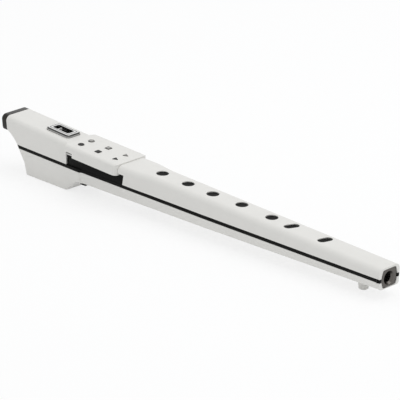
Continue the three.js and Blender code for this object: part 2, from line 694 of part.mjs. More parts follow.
// Black frame: the band all round, bars that carry the boards, and the recess walls.
function chassisFrame() {
  const body = bodyOf(CAP_LENGTH, BODY_LENGTH, 0);
  const inside = bodyOf(CAP_LENGTH, BODY_LENGTH - END_WALL, BAND_WIDTH);
  const ring = cut(body, inside).intersect(slabBetween(BAND_BOTTOM_Z, BAND_TOP_Z));
  const ends = [-1, 1].map((side) => rodOf(
    BODY_LENGTH - BAND_END_RADIUS, side * (BAND_HALF_WIDTH_FOOT + BAND_END_REACH - BAND_END_RADIUS),
    BAND_END_RADIUS, BAND_BOTTOM_Z, BAND_TOP_Z, SMALL_ROUND_STEPS));
  const lowCore = bodyOf(CAP_LENGTH, BODY_LENGTH, BAND_WIDTH / 2)
    .intersect(slabBetween(CROSS_BAR_BOTTOM_Z, BAND_TOP_Z));
  const highCore = bodyOf(CAP_LENGTH, BODY_LENGTH, SHELL_WALL + SEAM)
    .intersect(slabBetween(CROSS_BAR_BOTTOM_Z, MAIN_BOARD_Z - SEAM));
  const core = join(lowCore, highCore);
  const bars = crossBarPlaces.map((x) =>
    boxOf([x - CROSS_BAR_WIDTH / 2, -SIDE, 0], [x + CROSS_BAR_WIDTH / 2, SIDE, TALL]).intersect(core));
  const wallRear = COVER_REAR_X + SEAM;
  const tallFront = COVER_FRONT_X - COVER_WALL - 2 * SEAM;
  const underCover = boxOf([-OVERRUN, -SIDE, -TALL], [COVER_LENGTH, SIDE, FRAME_WALL_TOP], panelFrame);
  const walls = [-1, 1].flatMap((side) => {
    const faces = [side * RECESS_HALF_WIDTH, side * (RECESS_HALF_WIDTH - RECESS_WALL)];
    const [y0, y1] = [Math.min(...faces), Math.max(...faces)];
    return [
      boxOf([wallRear, y0, BAND_BOTTOM_Z], [tallFront, y1, TALL]).intersect(underCover),
      recessBlock(wallRear, y0, y1, BAND_BOTTOM_Z, SEAM),
    ];
  });
  const frame = join(ring, ...ends, ...bars, ...walls);
  return cut(frame, insertOpening, usbBlock(SEAM, OVERRUN), jackRod(SEAM, OVERRUN), switchSlot());
}

// Sockets in the far wall of the recess: the outer block of each, widened by a clearance.
function usbBlock(clearance, overrun) {
  const z0 = BOARD_TOP_Z + SEAM;
  return boxOf(
    [USB_X - USB_WIDTH / 2 - clearance, RECESS_HALF_WIDTH - USB_DEPTH, z0 - clearance],
    [USB_X + USB_WIDTH / 2 + clearance, RECESS_HALF_WIDTH + overrun, z0 + USB_HEIGHT + clearance],
  );
}

function usbSocket() {
  const z0 = BOARD_TOP_Z + SEAM + USB_SHELL;
  const mouth = boxOf(
    [USB_X - USB_WIDTH / 2 + USB_SHELL, RECESS_HALF_WIDTH - USB_DEPTH + 2 * USB_SHELL, z0],
    [USB_X + USB_WIDTH / 2 - USB_SHELL, RECESS_HALF_WIDTH + OVERRUN, z0 + USB_HEIGHT - 2 * USB_SHELL],
  );
  const tongueZ = z0 + USB_HEIGHT / 2 - USB_SHELL;
  const tongue = boxOf(
    [USB_X - USB_WIDTH / 3, RECESS_HALF_WIDTH - USB_DEPTH + USB_SHELL, tongueZ - USB_SHELL],
    [USB_X + USB_WIDTH / 3, RECESS_HALF_WIDTH - USB_SHELL, tongueZ + USB_SHELL],
  );
  return join(cut(usbBlock(0, 0), mouth), tongue);
}

const JACK_Z = BOARD_TOP_Z + SEAM + JACK_RADIUS;

function jackRod(clearance, overrun) {
  return rodAlongY(
    JACK_X, JACK_Z, JACK_RADIUS + clearance,
    RECESS_HALF_WIDTH - JACK_DEPTH, RECESS_HALF_WIDTH + overrun);
}

function phonesJack() {
  const bore = rodAlongY(
    JACK_X, JACK_Z, JACK_BORE_RADIUS,
    RECESS_HALF_WIDTH - JACK_DEPTH + JACK_BORE_RADIUS, RECESS_HALF_WIDTH + OVERRUN, SMALL_ROUND_STEPS);
  return cut(jackRod(0, 0), bore);
}

// Power switch: a bar in the skirt's notch on a stem that runs through the near wall.
const SWITCH_MID_X = SWITCH_REAR_X + SWITCH_LENGTH / 2;
const SWITCH_HALF_REACH = COVER_HALF_WIDTH - SWITCH_SETBACK;
const SWITCH_FACE_Y = -RECESS_HALF_WIDTH - SEAM;

function switchSlot() {
  const side = SWITCH_STEM_LENGTH / 2 + SEAM;
  const rise = SWITCH_HEIGHT / 3 + SEAM;
  return boxOf(
    [SWITCH_MID_X - side - SWITCH_TRAVEL, -SIDE, SWITCH_Z - rise],
    [SWITCH_MID_X + side, 0, SWITCH_Z + rise],
  );
}

function powerSwitch() {
  const bar = boxOf(
    [SWITCH_REAR_X, -SWITCH_HALF_REACH, SWITCH_Z - SWITCH_HEIGHT / 2],
    [SWITCH_REAR_X + SWITCH_LENGTH, SWITCH_BAR_DEPTH - SWITCH_HALF_REACH, SWITCH_Z + SWITCH_HEIGHT / 2],
  );
  const stem = boxOf(
    [SWITCH_MID_X - SWITCH_STEM_LENGTH / 2, SEAM - SWITCH_HALF_REACH, SWITCH_Z - SWITCH_HEIGHT / 3],
    [SWITCH_MID_X + SWITCH_STEM_LENGTH / 2, SWITCH_FACE_Y + SWITCH_STEM_DEPTH, SWITCH_Z + SWITCH_HEIGHT / 3],
  );
  return join(bar, stem);
}

// Panel cover: a shallow hood with rounded edges, wider than the body under it.
function coverSection(half, inset, drop) {
  const radius = COVER_EDGE_RADIUS - inset;
  const reach = half - inset;
  return [
    [reach, -COVER_HEIGHT - drop],
    ...arcPoints(reach - radius, -inset - radius, radius, 0),
    ...arcPoints(radius - reach, -inset - radius, radius, Math.PI / 2),
    [-reach, -COVER_HEIGHT - drop],
  ];
}

function coverHalfAt(x) {
  const share = Math.min(Math.max(x / COVER_WIDENING, 0), 1);
  return HEAD_HALF_WIDTH + (COVER_HALF_WIDTH - HEAD_HALF_WIDTH) * smooth(share);
}

function keyPlaces() {
  const forms = ["round", "square", "triangle"];
  return forms.flatMap((form, index) => [["filled", KEY_NEAR_Y], ["open", KEY_FAR_Y]].map(
    ([style, y]) => ({ form, style, x: KEY_FIRST_X + index * KEY_PITCH, y })));
}

// A key's outline: a disc, a square, or a triangle that points to the foot.
function keyShape(form, clearance) {
  const radius = KEY_RADIUS + clearance;
  if (form === "round") return new THREE.Shape().absarc(0, 0, radius, 0, 2 * Math.PI, false);
  if (form === "square") {
    const side = Math.sqrt(Math.PI) * KEY_RADIUS + 2 * clearance;
    return roundedRectangle(side, side, SMALLEST_RADIUS);
  }
  const reach = KEY_RADIUS + 2 * clearance;
  const corners = [0, 1, 2].map((corner) => {
    const angle = (corner * 2 * Math.PI) / 3;
    return new THREE.Vector2(reach * Math.cos(angle), reach * Math.sin(angle));
  });
  return new THREE.Shape(corners);
}

function keyPlate({ form, x, y }, z0, z1, clearance) {
  return plateGeometry(keyShape(form, clearance), z0, z1).translate(x, y, 0);
}

function key(place) {
  const cap = solidOf(keyPlate(place, KEY_FLANGE_BOTTOM, KEY_PROUD, 0));
  const flange = rodOf(place.x, place.y, KEY_FLANGE_RADIUS, KEY_FLANGE_BOTTOM, KEY_FLANGE_TOP);
  return join(cap, flange);
}

function panelCover() {
  const widening = [0, ...FLARE_SHARES, 1].map((share) => share * COVER_WIDENING);
  const places = [...widening, COVER_LENGTH];
  const outer = places.map((x) => [x, coverSection(coverHalfAt(x), 0, 0)]);
  const innerPlaces = [-OVERRUN, ...widening, COVER_LENGTH - COVER_WALL];
  const inner = innerPlaces.map((x) => [x, coverSection(coverHalfAt(x), COVER_WALL, OVERRUN)]);
  const plan = new THREE.Shape();
  const corner = COVER_CORNER_RADIUS;
  plan.moveTo(-OVERRUN, -SIDE);
  plan.lineTo(-OVERRUN, SIDE);
  plan.lineTo(COVER_LENGTH - corner - SIDE, SIDE);
  plan.lineTo(COVER_LENGTH - corner - SIDE, COVER_HALF_WIDTH);
  plan.lineTo(COVER_LENGTH - corner, COVER_HALF_WIDTH);
  plan.absarc(COVER_LENGTH - corner, COVER_HALF_WIDTH - corner, corner, Math.PI / 2, 0, true);
  plan.absarc(COVER_LENGTH - corner, corner - COVER_HALF_WIDTH, corner, 0, -Math.PI / 2, true);
  plan.lineTo(COVER_LENGTH - corner - SIDE, -COVER_HALF_WIDTH);
  plan.lineTo(COVER_LENGTH - corner - SIDE, -SIDE);
  const trimmed = solidOf(plateGeometry(plan, -COVER_HEIGHT - OVERRUN, OVERRUN));
  const middle = boxOf(
    [-OVERRUN, -RECESS_HALF_WIDTH - SEAM, -COVER_HEIGHT - OVERRUN],
    [COVER_LENGTH + OVERRUN, RECESS_HALF_WIDTH + SEAM, FRAME_WALL_TOP + SEAM],
  );
  const bodyFrame = panelFrame.clone().invert();
  const notch = boxOf(
    [-OVERRUN, -SIDE, -COVER_HEIGHT - OVERRUN],
    [NOTCH_LENGTH, -RECESS_HALF_WIDTH, NOTCH_HEIGHT - COVER_HEIGHT],
  );
  const keyHoles = keyPlaces().map((place) => solidOf(keyPlate(place, -OVERRUN, OVERRUN, SEAM)));
  const head = boxOf([0, -SIDE, 0], [COVER_REAR_X + SEAM, SIDE, TALL], bodyFrame);
  const hood = cut(solidOf(loftGeometry(outer)), solidOf(loftGeometry(inner)), middle, notch);
  return cut(hood.intersect(trimmed), head, ...keyHoles);
}

// Rubber mat and circuit board under the keys.
function keySheet(top, thickness) {
  const x0 = KEY_FIRST_X - KEY_FLANGE_RADIUS - KEY_BOARD_MARGIN;
  const x1 = KEY_FIRST_X + 2 * KEY_PITCH + KEY_FLANGE_RADIUS + KEY_BOARD_MARGIN;
  return boxOf([x0, SEAM - DECK_HALF_WIDTH, top - thickness], [x1, DECK_HALF_WIDTH - SEAM, top]);
}

function keyMat() {
  const sheet = keySheet(KEY_MAT_TOP, KEY_MAT_THICKNESS);
  const domes = keyPlaces().map(({ x, y }) => turned(x, y, [
    [0, KEY_MAT_TOP - KEY_MAT_THICKNESS / 2],
    [KEY_RADIUS, KEY_MAT_TOP - KEY_MAT_THICKNESS / 2],
    [KEY_RADIUS / 2, KEY_MAT_TOP + SEAM / 2],
    [0, KEY_MAT_TOP + SEAM / 2],
  ], SMALL_ROUND_STEPS));
  return join(sheet, ...domes);
}

// Window: a bezel in a shallow pocket, a black cup through the shell, and a light lip across it.
function windowBezel() {
  const outline = roundedRectangle(BEZEL_LENGTH, BEZEL_WIDTH, BEZEL_RADIUS);
  outline.holes.push(roundedRectangle(WINDOW_LENGTH, WINDOW_WIDTH, WINDOW_RADIUS));
  const foot = solidOf(plateGeometry(outline, -BEZEL_SUNK, BEZEL_PROUD - BEZEL_CHAMFER));
  const rise = { depth: SEAM, bevelEnabled: true, bevelThickness: BEZEL_CHAMFER, bevelSize: BEZEL_CHAMFER };
  const narrower = roundedRectangle(
    BEZEL_LENGTH - 2 * BEZEL_CHAMFER, BEZEL_WIDTH - 2 * BEZEL_CHAMFER, BEZEL_RADIUS - BEZEL_CHAMFER);
  const crown = new THREE.ExtrudeGeometry(narrower, { ...rise, bevelSegments: 2, curveSegments: ARC_STEPS });
  const raised = solidOf(crown.translate(0, 0, BEZEL_PROUD - BEZEL_CHAMFER - SEAM));
  const slopeTop = [WINDOW_LENGTH + BEZEL_CHAMFER * 2, WINDOW_WIDTH + BEZEL_CHAMFER * 2];
  const opening = slopedOpening(slopeTop, BEZEL_PROUD);
  const above = boxOf([-SIDE, -SIDE, BEZEL_PROUD - BEZEL_CHAMFER - SEAM / 2], [SIDE, SIDE, BEZEL_PROUD]);
  return cut(join(foot, raised.intersect(above)), opening);
}

// A tapering opening: the window's outline at the shell, a wider one at the bezel's top.
function slopedOpening([topLength, topWidth], top) {
  const levels = [
    [-OVERRUN, WINDOW_LENGTH, WINDOW_WIDTH],
    [0, WINDOW_LENGTH, WINDOW_WIDTH],
    [top, topLength, topWidth],
    [top + OVERRUN, topLength, topWidth],
  ];
  const rings = levels.map(([z, length, width]) => [z, [
    [-width / 2, -length / 2], [width / 2, -length / 2], [width / 2, length / 2], [-width / 2, length / 2],
  ]]);
  const upright = new THREE.Matrix4().makeBasis(
    new THREE.Vector3(0, 0, 1), new THREE.Vector3(0, 1, 0), new THREE.Vector3(-1, 0, 0));
  return solidOf(loftGeometry(rings).applyMatrix4(upright));
}

const CUP_TOP = -BEZEL_SUNK - SEAM;

function windowCup() {
  const outer = roundedRectangle(CUP_OUTER_LENGTH, CUP_OUTER_WIDTH, WINDOW_RADIUS);
  const inner = roundedRectangle(WINDOW_LENGTH, WINDOW_WIDTH, WINDOW_RADIUS);
  const cup = solidOf(plateGeometry(outer, CUP_TOP - WINDOW_DEPTH, CUP_TOP));
  return cut(cup, solidOf(plateGeometry(inner, CUP_TOP - WINDOW_DEPTH + WINDOW_WALL, OVERRUN)));
}

function windowLip() {
  const x = -WINDOW_LENGTH / 2 + LIP_SETBACK;
  const half = WINDOW_WIDTH / 2 - SEAM;
  return boxOf([x, -half, CUP_TOP - WINDOW_DEPTH + WINDOW_WALL + SEAM], [x + LIP_THICKNESS, half, LIP_PROUD]);
}

// Mouthpiece cap with a straight spigot, so that it pulls off.
function mouthSection(inset) {
  return bodySection(CAP_LENGTH, inset);
}

function mouthpieceCap() {
  const rounded = Array.from({ length: ARC_STEPS }, (_, step) => {
    const angle = (step / ARC_STEPS) * (Math.PI / 2);
    const x = CAP_ROUND * (1 - Math.cos(angle));
    return [x, bodySection(x, CAP_ROUND * (1 - Math.sin(angle)))];
  });
  const rings = [...rounded, [CAP_ROUND, bodySection(CAP_ROUND, 0)], [CAP_LENGTH, mouthSection(0)]];
  const cap = solidOf(loftGeometry(rings));
  const end = CAP_LENGTH + SPIGOT_LENGTH;
  const inset = SHELL_WALL + SPIGOT_CLEARANCE;
  const spigotRings = [[CAP_LENGTH - SEAM, mouthSection(inset)], [end, mouthSection(inset)]];
  const spigot = solidOf(loftGeometry(spigotRings));
  const hollowInset = inset + SPIGOT_WALL;
  const hollow = solidOf(loftGeometry([
    [SPIGOT_WALL * 2, mouthSection(hollowInset)], [end + OVERRUN, mouthSection(hollowInset)]]));
  const middle = (TIP_TOP_Z + BEAK_RISE) / 2;
  const slot = boxOf(
    [-OVERRUN, -BREATH_SLOT_WIDTH / 2, middle - BREATH_SLOT_HEIGHT / 2],
    [end, BREATH_SLOT_WIDTH / 2, middle + BREATH_SLOT_HEIGHT / 2],
  );
  const grooveRear = CAP_LENGTH + SEAL_PLACE - SEAM;
  const grooveFront = CAP_LENGTH + SEAL_PLACE + SEAL_WIDTH + SEAM;
  const groove = cut(
    solidOf(loftGeometry([[grooveRear, mouthSection(SHELL_WALL)], [grooveFront, mouthSection(SHELL_WALL)]])),
    solidOf(loftGeometry([
      [grooveRear - SEAM, mouthSection(inset + SEAL_DEPTH)],
      [grooveFront + SEAM, mouthSection(inset + SEAL_DEPTH)],
    ])),
  );
  return cut(join(cap, spigot), hollow, slot, groove);
}

function mouthpieceSeal() {
  const rear = CAP_LENGTH + SEAL_PLACE;
  const front = rear + SEAL_WIDTH;
  const topDrop = ((TIP_TOP_Z - HEAD_TOP_FRONT_Z) / COVER_REAR_X) * (front - CAP_LENGTH);
  const outerInset = SHELL_WALL + SEAM + topDrop;
  const innerInset = SHELL_WALL + SPIGOT_CLEARANCE + SEAL_DEPTH - SEAM;
  const ring = solidOf(loftGeometry([[rear, mouthSection(outerInset)], [front, mouthSection(outerInset)]]));
  return cut(ring, solidOf(loftGeometry([
    [rear - SEAM, mouthSection(innerInset)], [front + SEAM, mouthSection(innerInset)]])));
}

// Breath path: a hose from the mouthpiece to the pressure sensor on its board.
const SENSOR_Z = MAIN_BOARD_Z + BOARD_THICKNESS + SEAM;
const NOZZLE_Z = SENSOR_Z + SENSOR_HEIGHT / 2;

function breathHose() {
  const start = CAP_LENGTH + SPIGOT_LENGTH + 4 * SEAM;
  const end = SENSOR_X - SEAM;
  const startZ = (TIP_TOP_Z + BEAK_RISE) / 2 - HOSE_RADIUS / 2;
  const bend = (end - start) / 3;
  const path = new THREE.CatmullRomCurve3([
    new THREE.Vector3(start, 0, startZ),
    new THREE.Vector3(start + bend, 0, startZ - HOSE_RADIUS),
    new THREE.Vector3(end - NOZZLE_LENGTH - bend / 3, 0, NOZZLE_Z + HOSE_RADIUS / 3),
    new THREE.Vector3(end - NOZZLE_LENGTH, 0, NOZZLE_Z),
    new THREE.Vector3(end, 0, NOZZLE_Z),
  ]);
  const ring = new THREE.Shape().absarc(0, 0, HOSE_RADIUS, 0, 2 * Math.PI, false);
  ring.holes.push(new THREE.Path().absarc(0, 0, HOSE_BORE_RADIUS, 0, 2 * Math.PI, true));
  const options = { steps: 2 * ARC_STEPS + 2, extrudePath: path, curveSegments: ARC_STEPS + 1 };
  return solidOf(new THREE.ExtrudeGeometry(ring, options));
}

function breathSensor() {
  const body = boxOf(
    [SENSOR_X, -SENSOR_SIZE / 2, SENSOR_Z],
    [SENSOR_X + SENSOR_SIZE, SENSOR_SIZE / 2, SENSOR_Z + SENSOR_HEIGHT],
  );
  const nozzle = rodAlongX(
    0, NOZZLE_Z, NOZZLE_RADIUS, SENSOR_X - NOZZLE_LENGTH / 2, SENSOR_X + NOZZLE_LENGTH, SMALL_ROUND_STEPS);
  return join(body, nozzle);
}

function sensorBoard() {
  const x0 = SENSOR_X - CROSS_BAR_WIDTH / 2;
  return boxOf(
    [x0, -SENSOR_BOARD_HALF_WIDTH, MAIN_BOARD_Z],
    [x0 + SENSOR_BOARD_LENGTH, SENSOR_BOARD_HALF_WIDTH, BOARD_TOP_Z],
  );
}

// Long main board on the frame's bars, with a hole round each screw boss.
function mainBoard() {
  const board = boxOf(
    [MAIN_BOARD_REAR_X, -MAIN_BOARD_HALF_WIDTH, MAIN_BOARD_Z],
    [tubeX(MAIN_BOARD_FRONT_SHARE), MAIN_BOARD_HALF_WIDTH, BOARD_TOP_Z],
  );
  const holes = screwPlaces.map((x) =>
    rodOf(x, 0, BOSS_RADIUS + SEAM, MAIN_BOARD_Z - OVERRUN, BOARD_TOP_Z + OVERRUN, SMALL_ROUND_STEPS));
  return cut(board, ...holes);
}

// Finger sensors stand on the main board and end a little under the shell, with a dished top.
function fingerSensor(sensor) {
  const top = lineAt(topLine, sensor.x) - SENSOR_SETBACK;
  const plug = fingerPlug(sensor, BOARD_TOP_Z + SEAM, top, -SEAM);
  const bowl = new THREE.SphereGeometry(FINGER_HOLE_RADIUS, SMALL_ROUND_STEPS, SMALL_ROUND_STEPS / 2);
  const flat = SENSOR_DISH / FINGER_HOLE_RADIUS;
  const stretch = sensor.slant === undefined ? DISH_SPREAD_SHARE : OBLONG_DISH_SPREAD_SHARE;
  bowl.rotateX(Math.PI / 2).scale(stretch, DISH_SPREAD_SHARE, flat);
  bowl.rotateZ(THREE.MathUtils.degToRad(-(sensor.slant ?? 0))).translate(sensor.x, sensor.y, top);
  return cut(plug, solidOf(bowl));
}

function thumbSensor() {
  const bottom = lineAt(undersideLine, THUMB_X);
  return turned(THUMB_X, 0, [
    [0, bottom + SENSOR_DISH],
    [FINGER_HOLE_RADIUS - 3 * SEAM, bottom + SEAM],
    [FINGER_HOLE_RADIUS - SEAM, bottom + SEAM],
    [FINGER_HOLE_RADIUS - SEAM, MAIN_BOARD_Z - SEAM],
    [0, MAIN_BOARD_Z - SEAM],
  ]);
}

// Batteries in their tray: two layers of two, nubs facing opposite ways in a layer.
const BAY_MID_X = REST_MID_X + SHELL_WALL / 2;
const CELL_PITCH = 2 * CELL_RADIUS + CELL_GAP;
const CELL_REACH = CELL_LENGTH / 2 + CELL_NUB_LENGTH;
const BAY_REACH = CELL_REACH + 2 * SEAM + CONTACT_THICKNESS;

function cellCentre(side, layer) {
  return [(side - 1 / 2) * CELL_PITCH, CELL_BOTTOM_Z + CELL_RADIUS + layer * CELL_PITCH];
}

function batteryCell(side, layer) {
  const [y, z] = cellCentre(side, layer);
  const can = rodAlongX(y, z, CELL_RADIUS, BAY_MID_X - CELL_LENGTH / 2, BAY_MID_X + CELL_LENGTH / 2);
  const way = side === layer ? 1 : -1;
  const ends = [BAY_MID_X, BAY_MID_X + way * CELL_REACH].sort((a, b) => a - b);
  return join(can, rodAlongX(y, z, CELL_NUB_RADIUS, ...ends, SMALL_ROUND_STEPS));
}

function contactPlate(way) {
  const near = BAY_MID_X + way * (CELL_REACH + SEAM);
  const [x0, x1] = [near, near + way * CONTACT_THICKNESS].sort((a, b) => a - b);
  const half = CELL_PITCH / 2 + CONTACT_WIDTH / 2;
  const [, lowZ] = cellCentre(0, 0);
  const [, highZ] = cellCentre(0, 1);
  return boxOf([x0, -half, lowZ - CELL_NUB_RADIUS], [x1, half, highZ + CELL_NUB_RADIUS]);
}

function batteryTray() {
  const half = CELL_PITCH / 2 + CELL_RADIUS + SEAM / 2;
  const [, highZ] = cellCentre(0, 1);
  const top = highZ + CELL_RADIUS + SEAM;
  const bottom = CELL_BOTTOM_Z + CELL_RADIUS / 2;
  const outer = boxOf(
    [BAY_MID_X - BAY_REACH - TRAY_WALL, -half - TRAY_WALL, bottom],
    [BAY_MID_X + BAY_REACH + TRAY_WALL, half + TRAY_WALL, top + TRAY_WALL],
  );
  const inner = boxOf([BAY_MID_X - BAY_REACH, -half, -OVERRUN], [BAY_MID_X + BAY_REACH, half, top]);
  return cut(outer, inner);
}

function batteryDoor() {
  const door = solidOf(doorPlate(DOOR_INSET, DOOR_INSET + DOOR_THICKNESS, 0));
  const radius = DOOR_GROOVE_RADIUS;
  const finger = new THREE.CylinderGeometry(radius, radius, DOOR_WIDTH / 2, ROUND_STEPS);
  finger.translate(DOOR_LENGTH / 2 - 2 * radius, 0, DOOR_INSET + DOOR_GROOVE_DEPTH - radius);
  return cut(door, solidOf(finger.applyMatrix4(tableFrame)));
}

function shellScrew(x) {
  const headTop = SCREW_SEAT_Z - SEAM;
  const shank = rodOf(
    x, 0, SCREW_RADIUS, headTop - SCREW_HEAD_HEIGHT / 2, headTop + SCREW_LENGTH, SMALL_ROUND_STEPS);
  const head = rodOf(x, 0, SCREW_HEAD_RADIUS, headTop - SCREW_HEAD_HEIGHT, headTop, SMALL_ROUND_STEPS);
  const along = [SCREW_HEAD_RADIUS / 2, SCREW_SLOT_WIDTH / 2];
  const slots = [along, [...along].reverse()];
  const cross = slots.map(([a, b]) =>
    boxOf([x - a, -b, 0], [x + a, b, headTop - SCREW_HEAD_HEIGHT + SCREW_SLOT_DEPTH]));
  return cut(join(head, shank), ...cross);
}

// Foot: the dark insert with its bore, and the peg that the object stands on.
function footInsert() {
  const face = BODY_LENGTH - INSERT_FACE_SETBACK;
  const rear = BODY_LENGTH - INSERT_LENGTH;
  const plug = insertOutline(rear, face, 0);
  const bore = rodAlongX(0, BORE_Z, BORE_RADIUS, rear - OVERRUN, BODY_LENGTH + OVERRUN);
  const mouth = new THREE.CylinderGeometry(BORE_RADIUS, BORE_MOUTH_RADIUS, BORE_MOUTH_DEPTH, ROUND_STEPS);
  mouth.rotateZ(Math.PI / 2).translate(face - BORE_MOUTH_DEPTH / 2, 0, BORE_Z);
  return cut(plug, bore, solidOf(mouth));
}

function footPeg() {
  const floor = PEG_HEIGHT - SEAM;
  const spigotEnd = floor + PEG_SPIGOT_LENGTH;
  const end = 0;
  const rim = Array.from({ length: ARC_STEPS + 1 }, (_, step) => {
    const angle = (step / ARC_STEPS) * (Math.PI / 2);
    return [
      PEG_END_RADIUS - PEG_RIM_RADIUS * (1 - Math.sin(angle)),
      end + PEG_RIM_RADIUS * (1 - Math.cos(angle)),
    ];
  });
  const profile = [
    [0, end], ...rim, [PEG_RADIUS, floor],
    [PEG_SPIGOT_RADIUS, floor], [PEG_SPIGOT_RADIUS, spigotEnd], [0, spigotEnd],
  ];
  return turned(0, 0, profile, ROUND_STEPS, pegFrame);
}

// Surfaces.
function surface(color, roughness, metalness = 0) {
  return new THREE.MeshStandardMaterial({ color, roughness, metalness });
}

const whiteShell = surface(0xe6e5e1, 0.38);
const blackGloss = surface(0x121211, 0.25);
const blackMatt = surface(0x1d1d1c, 0.65);
const smokedChrome = surface(0x3c3b3a, 0.2, 0.9);
const brightChrome = surface(0xcfcfcb, 0.15, 1);
const keyDark = surface(0x2a2a28, 0.5);
const keyGrey = surface(0x8c8c88, 0.5);
const lightPlastic = surface(0xc9c8c4, 0.4);
const rubber = surface(0x30302f, 0.85);
const boardGreen = surface(0x1f5c3a, 0.5);
const steel = surface(0xb4b5b6, 0.3, 1);
const cellSleeve = surface(0x3f6f9c, 0.4);

// The object: body pieces, panel pieces in the panel's frame, window pieces in the window's.
const body = new THREE.Group();
const panel = new THREE.Group();
const windowGroup = new THREE.Group();
panel.position.set(COVER_REAR_X, 0, COVER_REAR_TOP_Z);
panel.rotation.y = PANEL_TILT;
windowGroup.position.set(WINDOW_X, 0, lineAt(topLine, WINDOW_X));
windowGroup.rotation.y = HEAD_TILT;
body.add(panel, windowGroup);

body.add(
  meshOf("top_shell", topShell(), whiteShell),
  meshOf("bottom_shell", bottomShell(), whiteShell),
  meshOf("chassis_frame", chassisFrame(), blackGloss),
  meshOf("mouthpiece_cap", mouthpieceCap(), smokedChrome),
  meshOf("mouthpiece_seal", mouthpieceSeal(), rubber),
  meshOf("breath_hose", breathHose(), lightPlastic),
  meshOf("breath_sensor", breathSensor(), blackMatt),
  meshOf("sensor_board", sensorBoard(), boardGreen),
  meshOf("main_board", mainBoard(), boardGreen),
  meshOf("thumb_sensor", thumbSensor(), blackMatt),
  meshOf("power_switch", powerSwitch(), lightPlastic),
  meshOf("usb_socket", usbSocket(), steel),
  meshOf("phones_jack", phonesJack(), blackMatt),
  meshOf("battery_tray", batteryTray(), blackMatt),
  meshOf("battery_door", batteryDoor(), whiteShell),
  meshOf("contact_plate_rear", contactPlate(-1), steel),
  meshOf("contact_plate_front", contactPlate(1), steel),
  meshOf("foot_insert", footInsert(), smokedChrome),
  meshOf("foot_peg", footPeg(), whiteShell),
  meshOf("underside_lug", lugOf(0, lineAt(undersideLine, LUG_X) + SHELL_WALL), blackMatt),
  ...fingerSensors.map((sensor, index) =>
    meshOf(`finger_sensor_${index + 1}`, fingerSensor(sensor), blackMatt)),
  ...screwPlaces.map((x, index) => meshOf(`shell_screw_${index + 1}`, shellScrew(x), steel)),
  ...[0, 1].flatMap((layer) => [0, 1].map((side) =>
    meshOf(`battery_cell_${2 * layer + side + 1}`, batteryCell(side, layer), cellSleeve))),
);
panel.add(
  meshOf("panel_cover", panelCover(), whiteShell),
  meshOf("key_mat", keyMat(), rubber),
  meshOf("key_board", keySheet(KEY_BOARD_TOP, KEY_BOARD_THICKNESS), boardGreen),
  ...keyPlaces().map((place) => meshOf(
    `key_${place.form}_${place.style}`, key(place), place.style === "filled" ? keyDark : keyGrey)),
);
windowGroup.add(
  meshOf("window_bezel", windowBezel(), brightChrome),
  meshOf("window_cup", windowCup(), blackMatt),
  meshOf("window_lip", windowLip(), lightPlastic),
);

// Leaning on bulge and peg, with the origin under the middle of the whole.
body.rotation.y = REST_TILT;
const model = new THREE.Group();
model.add(body);
const bounds = new THREE.Box3().setFromObject(model, true);
body.position.set(-(bounds.min.x + bounds.max.x) / 2, 0, -bounds.min.z);

export default model;
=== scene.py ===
# %% [markdown]
# A digital wind controller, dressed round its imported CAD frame. The shells and the
# pieces on their outside are drawn again here with finer sections, and the rest
# keeps its CAD shape, with softened edges. We start by loading the frame and noting
# its size.

import json
import math

import bmesh
import bpy
import numpy as np
from mathutils import Matrix, Vector

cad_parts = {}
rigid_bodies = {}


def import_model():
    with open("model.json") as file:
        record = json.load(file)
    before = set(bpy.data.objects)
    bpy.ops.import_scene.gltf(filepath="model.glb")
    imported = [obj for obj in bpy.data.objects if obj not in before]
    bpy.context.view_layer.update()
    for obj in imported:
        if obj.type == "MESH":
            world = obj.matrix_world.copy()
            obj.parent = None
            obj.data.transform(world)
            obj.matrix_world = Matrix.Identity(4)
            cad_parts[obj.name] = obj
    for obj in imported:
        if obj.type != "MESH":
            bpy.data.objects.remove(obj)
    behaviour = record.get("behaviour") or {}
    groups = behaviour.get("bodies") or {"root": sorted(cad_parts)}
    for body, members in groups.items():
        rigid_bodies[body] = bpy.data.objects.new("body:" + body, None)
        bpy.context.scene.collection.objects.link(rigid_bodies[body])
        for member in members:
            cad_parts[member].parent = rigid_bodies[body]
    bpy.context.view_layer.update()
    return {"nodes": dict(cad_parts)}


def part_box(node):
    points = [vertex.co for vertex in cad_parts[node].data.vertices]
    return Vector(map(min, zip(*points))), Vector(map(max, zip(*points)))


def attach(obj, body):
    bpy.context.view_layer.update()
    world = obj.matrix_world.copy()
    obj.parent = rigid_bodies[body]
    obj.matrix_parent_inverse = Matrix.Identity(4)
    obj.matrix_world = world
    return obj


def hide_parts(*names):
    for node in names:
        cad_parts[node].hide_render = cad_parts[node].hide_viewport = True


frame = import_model()
MM = 0.001

# %% [markdown]
# The body is drawn with its black band level, x from the mouthpiece's tip to the
# foot, in millimetres. One matrix then leans it onto bulge and peg, as it stands.
# It could be drawn leaning from the start, but then every height would hold a share
# of the lean, and no size could be read off.

# %% Sizes of the body
BODY_LENGTH = 480.0
CAP_LENGTH = 7.0
COVER_REAR_X = 90.7
COVER_FRONT_X = 162.0
REAR_TOP_Z = 54.9
COVER_REAR_SEAT_Z = 49.9
COVER_FRONT_SEAT_Z = 46.5
FLARE_END_TOP_Z = 45.7
FOOT_TOP_Z = 37.4
FLARE_START_X = 176.0
FLARE_END_X = 208.0
HEAD_HALF = 17.0
FLARE_HALF = 18.4
TUBE_HALF = 15.0
FOOT_HALF = 13.3
REAR_EDGE_RADIUS = 5.0
FRONT_EDGE_RADIUS = 5.6
LOWER_EDGE_RADIUS = 2.8
LEAST_RADIUS = 0.6
BULGE_REAR_X = 32.0
BULGE_FRONT_X = 86.0
BAND_BOTTOM_Z = 24.9
BAND_TOP_Z = 27.9
BAND_MID_Z = (BAND_BOTTOM_Z + BAND_TOP_Z) / 2
PEG_X = 451.0
PEG_END_Z = 7.5
